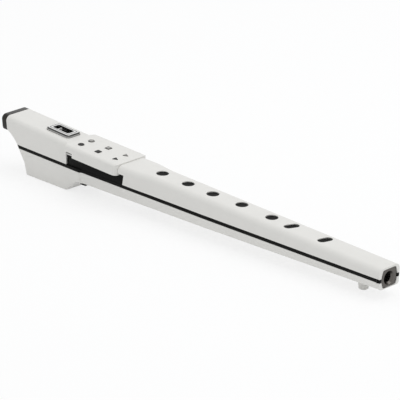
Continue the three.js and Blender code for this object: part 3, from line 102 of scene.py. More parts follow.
SEAM = 0.3
FINE_SEAM = 0.12
WALL = 2.0
END_WALL = 3.0
RECESS_HALF = 15.4
RECESS_WALL = 2.4
RECESS_FRONT_X = 165.7
RECESS_TOP_Z = 39.0
RECESS_SLANT = 3.8
SIDE_DRAFT = 0.035
HOLE_RADIUS = 6.0

REST_MID_X = (BULGE_REAR_X + BULGE_FRONT_X) / 2
REST_SLOPE = PEG_END_Z / (PEG_X - REST_MID_X)
REST_TILT = math.atan(REST_SLOPE)

foot_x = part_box("top_shell")[1][0] / MM
shift_x = foot_x - BODY_LENGTH * math.cos(REST_TILT) - FOOT_TOP_Z * math.sin(REST_TILT)
shift_z = REST_MID_X * math.sin(REST_TILT)

# Cutters reach past the body by these lengths.
WIDE = 30.0
TALL = 60.0
OVERRUN = 4.0

BODY_TO_ROW = (
    Matrix.Scale(MM, 4)
    @ Matrix.Translation((shift_x, 0, shift_z))
    @ Matrix.Rotation(REST_TILT, 4, "Y")
)
print("lean in degrees:", round(math.degrees(REST_TILT), 3))
print("shift in mm:", round(shift_x, 2), round(shift_z, 2))

# %% [markdown]
# Seen from the side and from above, the body is a few straight lines and three curves:
# the beak, the bulge's front and the flare. Each outline is a short list of places and
# values. A curve object could hold it too, but a function can be asked for its height
# anywhere, and the curved stretches are read through a smooth curve without corners.

# %% Outlines of the body
def smooth_line(xs, values):
    """A function of x: a cubic curve through the points, level beyond its ends."""
    xs, values = np.array(xs, float), np.array(values, float)
    steps = np.diff(values) / np.diff(xs)
    slopes = np.zeros(len(xs))
    for i in range(1, len(xs) - 1):
        before, after = steps[i - 1], steps[i]
        slopes[i] = 0.0 if before * after <= 0 else 2 * before * after / (before + after)
    slopes[0], slopes[-1] = steps[0], steps[-1]

    def at(x):
        if x <= xs[0]:
            return float(values[0])
        if x >= xs[-1]:
            return float(values[-1])
        i = int(np.searchsorted(xs, x)) - 1
        width = xs[i + 1] - xs[i]
        t = (x - xs[i]) / width
        near = (1 + 2 * t) * (1 - t) ** 2 * values[i] + t * (1 - t) ** 2 * width * slopes[i]
        far = t * t * (3 - 2 * t) * values[i + 1] + t * t * (t - 1) * width * slopes[i + 1]
        return float(near + far)

    return at


def table_z(x):
    return (x - REST_MID_X) * REST_SLOPE


def top_z(x):
    places = (0, COVER_REAR_X, COVER_FRONT_X, FLARE_END_X, BODY_LENGTH)
    heights = (REAR_TOP_Z, COVER_REAR_SEAT_Z, COVER_FRONT_SEAT_Z, FLARE_END_TOP_Z, FOOT_TOP_Z)
    return float(np.interp(x, places, heights))


HEAD_PLACES = (0, 11.25, 22.5, 33.75, 45)
HEAD_HALVES = (16.6, 16.75, 16.88, 16.97, HEAD_HALF)
head_half = smooth_line(HEAD_PLACES, HEAD_HALVES)


def shoulder_half(x):
    if x <= COVER_REAR_X:
        return head_half(x)
    if x <= FLARE_START_X:
        return float(np.interp(x, (COVER_REAR_X, COVER_FRONT_X), (HEAD_HALF, FLARE_HALF)))
    if x <= FLARE_END_X:
        share = (x - FLARE_START_X) / (FLARE_END_X - FLARE_START_X)
        return FLARE_HALF - (FLARE_HALF - TUBE_HALF) * (1 - math.cos(math.pi * share)) / 2
    return float(np.interp(x, (FLARE_END_X, BODY_LENGTH), (TUBE_HALF, FOOT_HALF)))


WAIST_X = 111.5
MIDDLE_X = 271
BAND_PLACES = (20, 107, 108.4, 109.8, WAIST_X, MIDDLE_X, BODY_LENGTH)
BAND_HALVES = (14.2, 17.2, 16.95, 15.85, 15.5, 15.7, 12.9)


def band_half(x):
    return float(np.interp(x, BAND_PLACES, BAND_HALVES))


BEAK_SHARES = (
    (0, 1), (0.15, 0.935), (0.3, 0.85), (0.4, 0.78), (0.5, 0.685), (0.6, 0.57), (0.7, 0.47),
    (0.81, 0.36), (0.9, 0.26), (0.955, 0.13), (0.985, 0.045), (1, 0),
)
FRONT_SHARES = ((0, 0), (0.1, 0.025), (0.25, 0.11), (0.5, 0.38), (0.78, 0.74), (0.93, 0.93), (1, 1))
BEAK_RISE = 39.9
FRONT_REACH = 18.0
UNDERSIDE_REAR_Z = 13.0
UNDERSIDE_FOOT_Z = 17.8
beak_rise = smooth_line(*zip(*BEAK_SHARES))
front_rise = smooth_line(*zip(*FRONT_SHARES))


def underside_line(x):
    if x <= BULGE_REAR_X:
        share = max((x - CAP_LENGTH) / (BULGE_REAR_X - CAP_LENGTH), 0)
        return table_z(max(x, CAP_LENGTH)) + beak_rise(share) * BEAK_RISE
    if x <= BULGE_FRONT_X:
        return table_z(x)
    front_end = BULGE_FRONT_X + FRONT_REACH
    if x <= front_end:
        foot = table_z(BULGE_FRONT_X)
        return foot + front_rise((x - BULGE_FRONT_X) / FRONT_REACH) * (UNDERSIDE_REAR_Z - foot)
    return float(np.interp(x, (front_end, BODY_LENGTH), (UNDERSIDE_REAR_Z, UNDERSIDE_FOOT_Z)))


INSET_SAMPLES = 5


def underside_z(x, inset):
    nearby = np.linspace(-inset, inset, INSET_SAMPLES)
    return max(underside_line(x + reach) for reach in nearby) + inset


def edge_radius(x):
    radii = (REAR_EDGE_RADIUS, FRONT_EDGE_RADIUS)
    return float(np.interp(x, (COVER_REAR_X, COVER_FRONT_X), radii))


def half_at(x, z):
    shoulder_z = top_z(x) - edge_radius(x)
    band = band_half(x)
    if z < BAND_MID_Z:
        return band - SIDE_DRAFT * (BAND_MID_Z - z)
    lean = (shoulder_half(x) - band) / (shoulder_z - BAND_MID_Z)
    return band + lean * (min(z, shoulder_z) - BAND_MID_Z)


print("widths at band:", [round(2 * half, 1) for half in BAND_HALVES])

# %% [markdown]
# A section is a ring of points with rounded corners. Rings are bridged one to the
# next, and the two ends are filled: that gives a solid that booleans can cut. A box
# with a subdivision modifier would be smooth as well, but it shrinks away from its
# corners, and this body has to keep its measures.

# %% Sections and lofts
ARC_STEPS = 9


def arc(y, z, radius, start, steps=ARC_STEPS):
    turns = [start + math.pi / 2 * i / steps for i in range(steps + 1)]
    return [(y + radius * math.cos(turn), z + radius * math.sin(turn)) for turn in turns]


def body_section(x, inset=0.0):
    top, bottom = top_z(x) - inset, underside_z(x, inset)
    upper = max(edge_radius(x) - inset, LEAST_RADIUS)
    lower = max(LOWER_EDGE_RADIUS - inset, LEAST_RADIUS)
    top_half = half_at(x, top - upper) - inset
    low_half = half_at(x, bottom) - inset
    mid_z = min(max(BAND_MID_Z, bottom + lower + SEAM), top - upper - SEAM)
    mid = half_at(x, mid_z) - inset
    right = arc(low_half - lower, bottom + lower, lower, -math.pi / 2)
    right += [(mid, mid_z)] + arc(top_half - upper, top - upper, upper, 0)
    left = [(-y, z) for y, z in reversed(right)]
    return [(x, y, z) for y, z in right + left]


def loft(name, rings, matrix=BODY_TO_ROW):
    """A closed skin through rings of points, in a new object at the origin."""
    bm = bmesh.new()
    loops = []
    for ring in rings:
        verts = [bm.verts.new(point) for point in ring]
        pairs = zip(verts, verts[1:] + verts[:1])
        loops.append((verts, [bm.edges.new(pair) for pair in pairs]))
    for (_, first), (_, second) in zip(loops, loops[1:]):
        bmesh.ops.bridge_loops(bm, edges=first + second)
    bmesh.ops.contextual_create(bm, geom=loops[0][1])
    bmesh.ops.contextual_create(bm, geom=loops[-1][1])
    bmesh.ops.recalc_face_normals(bm, faces=bm.faces[:])
    return mesh_object(name, bm, matrix)


def mesh_object(name, bm, matrix=BODY_TO_ROW):
    bm.transform(matrix)
    mesh = bpy.data.meshes.new(name)
    bm.to_mesh(mesh)
    bm.free()
    obj = bpy.data.objects.new(name, mesh)
    bpy.context.scene.collection.objects.link(obj)
    return obj


def box(low, high, matrix=BODY_TO_ROW):
    bm = bmesh.new()
    bmesh.ops.create_cube(bm, size=1)
    size = Vector(high) - Vector(low)
    middle = (Vector(high) + Vector(low)) / 2
    bm.transform(Matrix.Translation(middle) @ Matrix.Diagonal((*size, 1)))
    return mesh_object("cutter", bm, matrix)


def rod(centre, radius, length, axis="Z", segments=64, matrix=BODY_TO_ROW, end_radius=None):
    bm = bmesh.new()
    far = radius if end_radius is None else end_radius
    bmesh.ops.create_cone(
        bm, cap_ends=True, segments=segments, radius1=radius, radius2=far, depth=length)
    turn = Matrix.Rotation(math.pi / 2, 4, "Y") if axis == "X" else Matrix.Identity(4)
    bm.transform(Matrix.Translation(centre) @ turn)
    return mesh_object("cutter", bm, matrix)


def stations(start, end, step):
    count = max(int(round((end - start) / step)), 1)
    return [start + (end - start) * i / count for i in range(count + 1)]


BEAK_STEPS = 24
BULGE_CORNER = [BULGE_REAR_X - 0.4, BULGE_REAR_X - 0.15, BULGE_REAR_X + 0.2]
WAIST = [107, 107.8, 108.4, 109.1, 109.8, 110.6, WAIST_X]
PLAIN = [45, 60, 75, COVER_REAR_X, 130, COVER_FRONT_X, MIDDLE_X, 340, 410]
CLOSEST = 0.1


def body_places(start, end):
    """Close stations where the outline bends, wide ones on the straight tube."""
    beak_length = BULGE_REAR_X - CAP_LENGTH
    beak = [CAP_LENGTH + beak_length * i / BEAK_STEPS for i in range(BEAK_STEPS + 1)]
    front = stations(BULGE_FRONT_X, BULGE_FRONT_X + FRONT_REACH, 1.0)
    flare = stations(FLARE_START_X, FLARE_END_X, 2.0)
    wanted = sorted(beak + BULGE_CORNER + front + WAIST + flare + PLAIN)
    places = [x for x in wanted if start + CLOSEST < x < end - CLOSEST]
    kept = [x for i, x in enumerate(places) if i == 0 or x - places[i - 1] > CLOSEST]
    return [start] + kept + [end]


def body_loft(name, start, end, inset=0.0):
    return loft(name, [body_section(x, inset) for x in body_places(start, end)])


def boolean(obj, tools, operation="DIFFERENCE"):
    """Cuts or joins each tool in turn, and removes it."""
    for tool in tools:
        modifier = obj.modifiers.new("boolean", "BOOLEAN")
        modifier.operation, modifier.object, modifier.solver = operation, tool, "MANIFOLD"
        evaluated = obj.evaluated_get(bpy.context.evaluated_depsgraph_get())
        mesh = bpy.data.meshes.new_from_object(evaluated)
        obj.modifiers.clear()
        obj.data = mesh
        bpy.data.objects.remove(tool)
    return obj


def report(obj):
    size = [round(v / MM, 1) for v in obj.dimensions]
    print(f"{obj.name}: {len(obj.data.polygons)} faces, size in mm {size}")
    return obj


print("stations along the body:", len(body_places(CAP_LENGTH, BODY_LENGTH)))

# %% [markdown]
# Materials come first, all procedural. A shell has a little noise in its colour
# and roughness, and a fine bump, because moulded plastic is never quite even.

# %% Materials
CLOUD_SCALE = 60.0
CLOUD_DETAIL = 4.0
GRAIN_SCALE = 2600.0
GRAIN_DEPTH = 0.0002
COAT_ROUGHNESS = 0.12
ROUGHNESS_SPREAD = 0.05
LEAST_ROUGHNESS = 0.02


def material(name, colour, roughness, metallic=0.0, bump=0.02, variation=0.03, coat=0.0, gloss=0.5):
    mat = bpy.data.materials.new(name)
    mat.use_nodes = True
    nodes, links = mat.node_tree.nodes, mat.node_tree.links
    shader = nodes["Principled BSDF"]
    shader.inputs["Metallic"].default_value = metallic
    shader.inputs["Specular IOR Level"].default_value = gloss
    shader.inputs["Coat Weight"].default_value = coat
    shader.inputs["Coat Roughness"].default_value = COAT_ROUGHNESS
    place = nodes.new("ShaderNodeTexCoord")
    cloud = nodes.new("ShaderNodeTexNoise")
    cloud.inputs["Scale"].default_value = CLOUD_SCALE
    cloud.inputs["Detail"].default_value = CLOUD_DETAIL
    grain = nodes.new("ShaderNodeTexNoise")
    grain.inputs["Scale"].default_value = GRAIN_SCALE
    for noise in (cloud, grain):
        links.new(place.outputs["Object"], noise.inputs["Vector"])
    tint = nodes.new("ShaderNodeMix")
    tint.data_type = "RGBA"
    tint.inputs["A"].default_value = (*[c * (1 - variation) for c in colour], 1)
    tint.inputs["B"].default_value = (*[min(c * (1 + variation), 1) for c in colour], 1)
    links.new(cloud.outputs["Fac"], tint.inputs["Factor"])
    links.new(tint.outputs["Result"], shader.inputs["Base Color"])
    rough = nodes.new("ShaderNodeMapRange")
    rough.inputs["To Min"].default_value = max(roughness - ROUGHNESS_SPREAD, LEAST_ROUGHNESS)
    rough.inputs["To Max"].default_value = roughness + ROUGHNESS_SPREAD
    links.new(cloud.outputs["Fac"], rough.inputs["Value"])
    links.new(rough.outputs["Result"], shader.inputs["Roughness"])
    relief = nodes.new("ShaderNodeBump")
    relief.inputs["Strength"].default_value = bump
    relief.inputs["Distance"].default_value = GRAIN_DEPTH
    links.new(grain.outputs["Fac"], relief.inputs["Height"])
    links.new(relief.outputs["Normal"], shader.inputs["Normal"])
    return mat


WHITE = material("white_shell", (0.74, 0.73, 0.7), 0.38, coat=0.15)
BLACK_GLOSS = material("black_gloss", (0.006, 0.006, 0.0055), 0.3, gloss=0.05, variation=0.2)
BLACK_MATT = material("black_matt", (0.008, 0.008, 0.0076), 0.5, bump=0.1, gloss=0.08, variation=0.1)
SMOKED = material("smoked_chrome", (0.032, 0.031, 0.029), 0.17, metallic=0.9, variation=0.15, gloss=0.3)
# The foot insert's smoked chrome is painted lighter than the cap's: painted light for the glints on its
# end face.
INSERT_PAINTED_LIGHT = material("smoked_insert_painted_light", (0.12, 0.112, 0.104), 0.24, metallic=0.9, variation=0.12, gloss=0.3)
CHROME = material("bright_chrome", (0.74, 0.74, 0.73), 0.14, metallic=1.0)
# Two darker copies of the bezel's chrome: painted shade standing for its reflections.
CHROME_SIDE_PAINTED_SHADE = material("bright_chrome_side_painted_shade", (0.34, 0.34, 0.335), 0.2, metallic=1.0, variation=0.1)
CHROME_EDGE_PAINTED_SHADE = material("bright_chrome_edge_painted_shade", (0.06, 0.06, 0.058), 0.2, metallic=1.0, variation=0.1)
LIGHT = material("light_plastic", (0.62, 0.61, 0.59), 0.4)
RUBBER = material("rubber", (0.02, 0.02, 0.02), 0.8, bump=0.2, gloss=0.2)
BOARD = material("board_green", (0.03, 0.13, 0.07), 0.4, variation=0.15)
STEEL = material("steel", (0.62, 0.62, 0.63), 0.28, metallic=1.0, variation=0.06)
CELL = material("cell_sleeve", (0.08, 0.2, 0.36), 0.35, variation=0.05)
KEY_DARK = material("key_dark", (0.014, 0.014, 0.0133), 0.45, gloss=0.14)
KEY_GREY = material("key_grey", (0.13, 0.127, 0.12), 0.45, gloss=0.2)
print("materials:", len(bpy.data.materials))

# %% [markdown]
# Every finished piece gets smooth shading between its sharp edges. A CAD piece can
# have a narrow bevel as well, as wide as a moulded edge, so its corners catch the
# light. It is loose triangles, so a weld goes before the bevel and joins them. A
# bevel gets no wider than its mesh's shortest edge allows, and the cuts leave edges
# that are next to nothing long. So of the pieces drawn here only the triangle keys
# have one, and the others are sharp where no radius is drawn. A clean-up after each
# cut would make room for their bevels.

# %% Finishing
CREASE = math.radians(40)
FINE_CREASE = math.radians(20)
EDGE_SEGMENTS = 2
WELD_REACH = 0.001


def finish_piece(obj, mat, bevel=0.0, weld=False, crease=CREASE):
    obj.data.materials.clear()
    obj.data.materials.append(mat)
    obj.data.shade_smooth()
    if weld:
        obj.modifiers.new("weld", "WELD").merge_threshold = WELD_REACH * MM
    else:
        obj.data.set_sharp_from_angle(angle=crease)
    if bevel:
        edge = obj.modifiers.new("edge", "BEVEL")
        edge.width = bevel * MM
        edge.segments = EDGE_SEGMENTS
        edge.limit_method = "ANGLE"
        edge.angle_limit = crease
        edge.harden_normals = True
        edge.use_clamp_overlap = True
    return obj


def stand_in(obj, node, body, slot, mat, **edge):
    """obj is shown in place of a CAD node, on the same body."""
    obj.name = node + "_look"
    finish_piece(obj, mat, **edge)
    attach(obj, body)
    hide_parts(node)
    return report(obj)


print("edges steeper than", round(math.degrees(CREASE)), "degrees are sharp or get a bevel")

# %% [markdown]
# The panel, the window and the battery door each lie on a slope of their own. A
# matrix for each lets a piece be drawn flat, in its own frame, and then placed.

# %% Panel and window frames
COVER_REAR_TOP_Z = 50.0
COVER_FRONT_TOP_Z = 47.4
COVER_HALF = 21.2
COVER_HEIGHT = 10.7
PANEL_TILT = math.atan((COVER_REAR_TOP_Z - COVER_FRONT_TOP_Z) / (COVER_FRONT_X - COVER_REAR_X))
HEAD_TILT = math.atan((REAR_TOP_Z - COVER_REAR_SEAT_Z) / COVER_REAR_X)
WINDOW_X = 69.5
PANEL_TO_ROW = (
    BODY_TO_ROW
    @ Matrix.Translation((COVER_REAR_X, 0, COVER_REAR_TOP_Z))
    @ Matrix.Rotation(PANEL_TILT, 4, "Y")
)
WINDOW_TO_ROW = (
    BODY_TO_ROW @ Matrix.Translation((WINDOW_X, 0, top_z(WINDOW_X))) @ Matrix.Rotation(HEAD_TILT, 4, "Y")
)
TABLE_TO_ROW = (
    BODY_TO_ROW @ Matrix.Translation((REST_MID_X, 0, 0)) @ Matrix.Rotation(-REST_TILT, 4, "Y")
)
PEG_TO_ROW = (
    BODY_TO_ROW @ Matrix.Translation((PEG_X, 0, PEG_END_Z)) @ Matrix.Rotation(-REST_TILT, 4, "Y")
)
print("panel slopes by degrees:", round(math.degrees(PANEL_TILT), 2))

# %% [markdown]
# Several pieces are flat outlines given thickness, and a finger hole and the sensor
# in it have one form: round, or oblong and turned where two notes share a finger.

# %% Outlines given thickness
FINGERS = (
    (202.6, 0, None), (235.8, 0, None), (267.2, 0, None), (301.7, 1.9, None), (339.5, 1.1, None),
    (364.6, 0, 22), (404.6, 0, 15),
)
OBLONG = (15.0, 8.4)
OBLONG_FLAT = 0.05
SENSOR_LOW_Z = 32.0


def rounded_outline(length, width, radius, steps=6):
    a, b = length / 2 - radius, width / 2 - radius
    corners = ((a, -b, -math.pi / 2), (a, b, 0), (-a, b, math.pi / 2), (-a, -b, math.pi))
    return [point for x, y, start in corners for point in arc(x, y, radius, start, steps)]


def plate(name, outline, z0, z1, matrix, turn=0.0, place=(0, 0)):
    """An outline in x and y given thickness."""
    turned = Matrix.Translation((*place, 0)) @ Matrix.Rotation(turn, 4, "Z")
    bm = bmesh.new()
    verts = [bm.verts.new(turned @ Vector((x, y, z0))) for x, y in outline]
    face = bm.faces.new(verts)
    raised = bmesh.ops.extrude_face_region(bm, geom=[face])["geom"]
    top = [v for v in raised if isinstance(v, bmesh.types.BMVert)]
    bmesh.ops.translate(bm, verts=top, vec=(0, 0, z1 - z0))
    bmesh.ops.recalc_face_normals(bm, faces=bm.faces[:])
    return mesh_object(name, bm, matrix)


def finger_tool(x, y, slant, clearance=0.0, low=SENSOR_LOW_Z, high=TALL):
    if slant is None:
        return rod((x, y, (low + high) / 2), HOLE_RADIUS + clearance, high - low)
    length, width = (size + 2 * clearance for size in OBLONG)
    outline = rounded_outline(width, length, width / 2 - OBLONG_FLAT, ARC_STEPS + 1)
    return plate("cutter", outline, low, high, BODY_TO_ROW, math.radians(-slant), (x, y))


print("finger holes:", len(FINGERS))

# %% [markdown]
# The foot insert is a block with bulging sides and small corners. The same ring,
# grown by a seam, cuts its opening in both shells.

# %% The insert's ring
INSERT_HALF = 10.3
INSERT_CORNER_HALF = 8.0
INSERT_TOP_Z = 35.3
INSERT_BOTTOM_Z = 18.7
INSERT_LENGTH = 26.0
CORNER_CUT = 1.6
CORNER_TURN = 0.5
CORNER_DROP = 0.25
SIDE_STEPS = 20


def insert_ring(x, clearance=0.0):
    half, corner = INSERT_HALF + clearance, INSERT_CORNER_HALF + clearance
    top, bottom = INSERT_TOP_Z + clearance, INSERT_BOTTOM_Z - clearance
    middle, rise = (top + bottom) / 2, (top - bottom) / 2
    shares = [2 * i / SIDE_STEPS - 1 for i in range(1, SIDE_STEPS)]
    bulge = [(corner + (half - corner) * math.cos(s * math.pi / 2), middle + rise * s) for s in shares]
    side = [(corner - CORNER_CUT, bottom), (corner - CORNER_TURN, bottom + CORNER_DROP)]
    side += bulge + [(corner - CORNER_TURN, top - CORNER_DROP), (corner - CORNER_CUT, top)]
    return [(x, y, z) for y, z in side] + [(x, -y, z) for y, z in reversed(side)]


def insert_opening():
    ends = (BODY_LENGTH - INSERT_LENGTH - 1, BODY_LENGTH + OVERRUN)
    return loft("cutter", [insert_ring(x, SEAM) for x in ends])


print("points round the insert:", len(insert_ring(BODY_LENGTH)))

# %% [markdown]
# The upper shell runs from the cap to the foot. It is one long loft less its hollow,
# less the bay that the panel cover fills, less the finger holes and the window. A
# loft for the head and another for the tube would need no bay, but the two could drift
# out of line. A deck under the panel joins its ends.

# %% Upper shell
DECK_DROP = 7.1
DECK_THICKNESS = 2.0
DECK_HALF = 12.7
DECK_REAR = -1.2
DECK_FRONT = 72.5
BAY_WALL = 2.4
BEZEL_LENGTH = 31.0
BEZEL_WIDTH = 17.5
BEZEL_RADIUS = 3.4
POCKET_RADIUS = 3.3
POCKET_DEPTH = 0.9
CUP_OPENING = (23.0, 10.6, 1.3)


def deck_z(x):
    return COVER_REAR_TOP_Z - math.tan(PANEL_TILT) * (x - COVER_REAR_X) - DECK_DROP


def above_band():
    return box((-OVERRUN, -WIDE, BAND_TOP_Z + SEAM), (BODY_LENGTH + OVERRUN, WIDE, TALL))


def recess_block(y0, y1):
    """The recess under the skirt from the side: its front end leans towards the foot."""
    front = RECESS_FRONT_X
    outline = [
        (COVER_REAR_X, 0), (front, 0), (front, BAND_TOP_Z),
        (front + RECESS_SLANT, RECESS_TOP_Z), (COVER_REAR_X, RECESS_TOP_Z),
    ]
    on_edge = BODY_TO_ROW @ Matrix.Rotation(math.pi / 2, 4, "X")
    return plate("cutter", outline, -y1, -y0, on_edge)


def body_hollow():
    return body_loft("cutter", CAP_LENGTH - OVERRUN, BODY_LENGTH - END_WALL, WALL)


def top_shell():
    shell = body_loft("top_shell_look", CAP_LENGTH + SEAM, BODY_LENGTH)
    hollow = body_hollow()
    bay_front = COVER_FRONT_X + FINE_SEAM
    boolean(shell, [hollow, box((COVER_REAR_X, -WIDE, 0), (bay_front, WIDE, TALL))])
    boolean(shell, [above_band()], "INTERSECT")
    low = deck_z(COVER_FRONT_X) - DECK_THICKNESS
    walls = []
    for x0, x1 in ((COVER_REAR_X - BAY_WALL, COVER_REAR_X), (bay_front, bay_front + BAY_WALL)):
        wall = body_loft("wall", x0, x1)
        walls.append(boolean(wall, [box((x0 - 1, -WIDE, low), (x1 + 1, WIDE, TALL))], "INTERSECT"))
    deck = box(
        (DECK_REAR, -DECK_HALF, -DECK_DROP - DECK_THICKNESS), (DECK_FRONT, DECK_HALF, -DECK_DROP),
        PANEL_TO_ROW)
    boolean(shell, walls + [deck], "UNION")
    gap = RECESS_HALF - RECESS_WALL - SEAM
    sides = [recess_block(-WIDE, -gap), recess_block(gap, WIDE)]
    holes = [finger_tool(*finger) for finger in FINGERS]
    seat = rounded_outline(BEZEL_LENGTH + 2 * SEAM, BEZEL_WIDTH + 2 * SEAM, POCKET_RADIUS)
    pocket = plate("cutter", seat, -POCKET_DEPTH, OVERRUN, WINDOW_TO_ROW)
    through = plate("cutter", rounded_outline(*CUP_OPENING), -OVERRUN, OVERRUN, WINDOW_TO_ROW)
    return boolean(shell, sides + holes + [pocket, through, insert_opening()])


stand_in(top_shell(), "top_shell", "body", "white_shell", WHITE)

# %% [markdown]
# The lower shell has the battery bulge. Its flat underside lies on the table, and
# the door, the screws, the thumb sensor and the peg's seat are cut into it. It comes
# from the same loft as the upper shell, cut off below the band, so the two shells
# have one outline and the seam between them is even.

# %% Lower shell
SCREWS = (140.0, 219.0, 285.0, 385.0, 430.0)
SCREW_SEAT_Z = 19.6
SCREW_RADIUS = 1.5
SCREW_HEAD_RADIUS = 2.8
SLEEVE_RADIUS = 4.2
SLEEVE_SINK = 1.0
SEAT_THICKNESS = 2.0
THUMB_X = 188.0
PEG_STEM_RADIUS = 3.0
DOOR_OPENING = (46.6, 18.6, 2.3)
LUG_REAR_X = 104.2
LUG_FRONT_X = 111.8
LUG_HALF = 11.8
LUG_LOW_Z = 5.0
LUG_HIGH_Z = 17.0


def screw_sleeve(x):
    floor = underside_line(x) + SLEEVE_SINK
    height = SCREW_SEAT_Z + SEAT_THICKNESS - floor
    return rod((x, 0, floor + height / 2), SLEEVE_RADIUS, height)


def bottom_shell():
    shell = body_loft("bottom_shell_look", CAP_LENGTH, BODY_LENGTH)
    boolean(shell, [body_hollow()])
    below_band = (BODY_LENGTH + OVERRUN, WIDE, BAND_BOTTOM_Z - SEAM)
    boolean(shell, [box((-OVERRUN, -WIDE, -OVERRUN), below_band)], "INTERSECT")
    boolean(shell, [screw_sleeve(x) for x in SCREWS], "UNION")
    middle_z = BAND_BOTTOM_Z / 2
    holes = [rod((x, 0, middle_z), SCREW_RADIUS, WIDE, segments=32) for x in SCREWS]
    for x in SCREWS:
        holes.append(rod((x, 0, SCREW_SEAT_Z / 2), SCREW_HEAD_RADIUS, SCREW_SEAT_Z, segments=40))
    holes.append(rod((THUMB_X, 0, middle_z), HOLE_RADIUS, BAND_BOTTOM_Z))
    holes.append(rod((0, 0, middle_z), PEG_STEM_RADIUS + SEAM, BAND_BOTTOM_Z, matrix=PEG_TO_ROW))
    holes.append(plate("cutter", rounded_outline(*DOOR_OPENING), -OVERRUN, OVERRUN, TABLE_TO_ROW))
    holes.append(box((LUG_REAR_X, -LUG_HALF, LUG_LOW_Z), (LUG_FRONT_X, LUG_HALF, LUG_HIGH_Z)))
    return boolean(shell, holes + [insert_opening()])


stand_in(bottom_shell(), "bottom_shell", "body", "white_shell", WHITE)

# %% [markdown]
# The panel cover is a shallow hood, wider than the body. It starts as wide as the
# head and swells to its full width within 3 mm, which rings show well. Its front
# corners are wide too: a rounded plan cuts them, because a bevel of that width would
# run into the rounded top edge.

# %% Panel cover
COVER_LENGTH = (COVER_FRONT_X - COVER_REAR_X) / math.cos(PANEL_TILT)
COVER_EDGE = 3.5
COVER_CORNER = 5.0
COVER_WIDENING = 3.0
WIDENING_STEPS = 14
COVER_WALL = 2.0
INNER_SKIRT_Z = -4.3
NOTCH_LENGTH = 12.8
NOTCH_HEIGHT = 4.1
KEY_RADIUS = 2.9
KEY_ROUND_STEPS = 64
KEY_CORNER = 0.6
FIRST_KEY_X = 12.8
KEY_PITCH = 23.15
KEY_PLACES = [
    (form, style, FIRST_KEY_X + KEY_PITCH * i, y)
    for i, form in enumerate(("round", "square", "triangle"))
    for style, y in (("filled", -9.2), ("open", 4.2))
]


def cover_ring(x, inset, drop):
    share = min(max(x / COVER_WIDENING, 0), 1)
    half = HEAD_HALF + (COVER_HALF - HEAD_HALF) * (1 - math.cos(math.pi * share)) / 2 - inset
    radius = COVER_EDGE - inset
    side = [(half, -COVER_HEIGHT - drop)] + arc(half - radius, -inset - radius, radius, 0)
    return [(x, y, z) for y, z in side + [(-y, z) for y, z in reversed(side)]]


def key_outline(form, grow=0.0):
    if form == "square":
        side = math.sqrt(math.pi) * KEY_RADIUS + 2 * grow
        return rounded_outline(side, side, KEY_CORNER)
    corners, reach = KEY_ROUND_STEPS, KEY_RADIUS + grow
    if form == "triangle":
        corners, reach = 3, KEY_RADIUS + 2 * grow
    turns = [2 * math.pi * i / corners for i in range(corners)]
    return [(reach * math.cos(turn), reach * math.sin(turn)) for turn in turns]


def panel_cover():
    widening = [COVER_WIDENING * i / WIDENING_STEPS for i in range(WIDENING_STEPS + 1)]
    outside = [cover_ring(x, 0, 0) for x in widening + [COVER_LENGTH]]
    inside_places = [-OVERRUN] + widening + [COVER_LENGTH - COVER_WALL]
    inside = [cover_ring(x, COVER_WALL, OVERRUN) for x in inside_places]
    hood = loft("panel_cover_look", outside, PANEL_TO_ROW)
    length = COVER_LENGTH + WIDE
    plan = plate(
        "cutter", rounded_outline(length, 2 * COVER_HALF, COVER_CORNER, 12), -WIDE, OVERRUN,
        PANEL_TO_ROW, place=(COVER_LENGTH - length / 2, 0))
    boolean(hood, [box((0, -WIDE, 0), (COVER_REAR_X + FINE_SEAM, WIDE, TALL))])
    boolean(hood, [plan], "INTERSECT")
    gap = RECESS_HALF + SEAM
    inner_skirt = box(
        (-OVERRUN, -gap, -WIDE), (COVER_LENGTH + OVERRUN, gap, INNER_SKIRT_Z), PANEL_TO_ROW)
    notch = box(
        (-OVERRUN, -WIDE, -WIDE), (NOTCH_LENGTH, -RECESS_HALF, NOTCH_HEIGHT - COVER_HEIGHT),
        PANEL_TO_ROW)
    cuts = [loft("cutter", inside, PANEL_TO_ROW), inner_skirt, notch]
    for form, _, x, y in KEY_PLACES:
        outline = key_outline(form, SEAM)
        cuts.append(plate("cutter", outline, -OVERRUN, OVERRUN, PANEL_TO_ROW, place=(x, y)))
    return boolean(hood, cuts)


stand_in(panel_cover(), "panel_cover", "body", "white_shell", WHITE)

# %% [markdown]
# A key is a cap on a round flange that holds it under the panel. The open forms have
# a pale centre, so that only an outline of the form reads dark. A texture could draw
# that outline, but a small raised plate stays sharp from close by.

# %% Keys
KEY_PROUD = 0.5
FLANGE_LOW = -3.4
FLANGE_THICKNESS = 1.1
FLANGE_RADIUS = 4.4
INLAY_LOW = 0.3
INLAY_PROUD = 0.06
KEY_BEVELS = {"round": 0.0, "square": 0.0, "triangle": 0.25}
INLAY_INSETS = {"round": -0.9, "square": -0.9, "triangle": -0.45}
INLAY = material("key_inlay", (0.32, 0.315, 0.3), 0.45)


def key(form, style, x, y):
    node = f"key_{form}_{style}"
    cap = plate(node + "_look", key_outline(form), FLANGE_LOW, KEY_PROUD, PANEL_TO_ROW, place=(x, y))
    flange_middle = (x, y, FLANGE_LOW + FLANGE_THICKNESS / 2)
    flange = rod(flange_middle, FLANGE_RADIUS, FLANGE_THICKNESS, matrix=PANEL_TO_ROW)
    boolean(cap, [flange], "UNION")
    if style == "filled":
        stand_in(cap, node, node, "key_dark", KEY_DARK, bevel=KEY_BEVELS[form])
        return
    stand_in(cap, node, node, "key_grey", KEY_GREY, bevel=KEY_BEVELS[form])
    outline = key_outline(form, INLAY_INSETS[form])
    top = KEY_PROUD + INLAY_PROUD
    inlay = plate(node + "_inlay", outline, INLAY_LOW, top, PANEL_TO_ROW, place=(x, y))
    finish_piece(inlay, INLAY)
    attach(inlay, node)


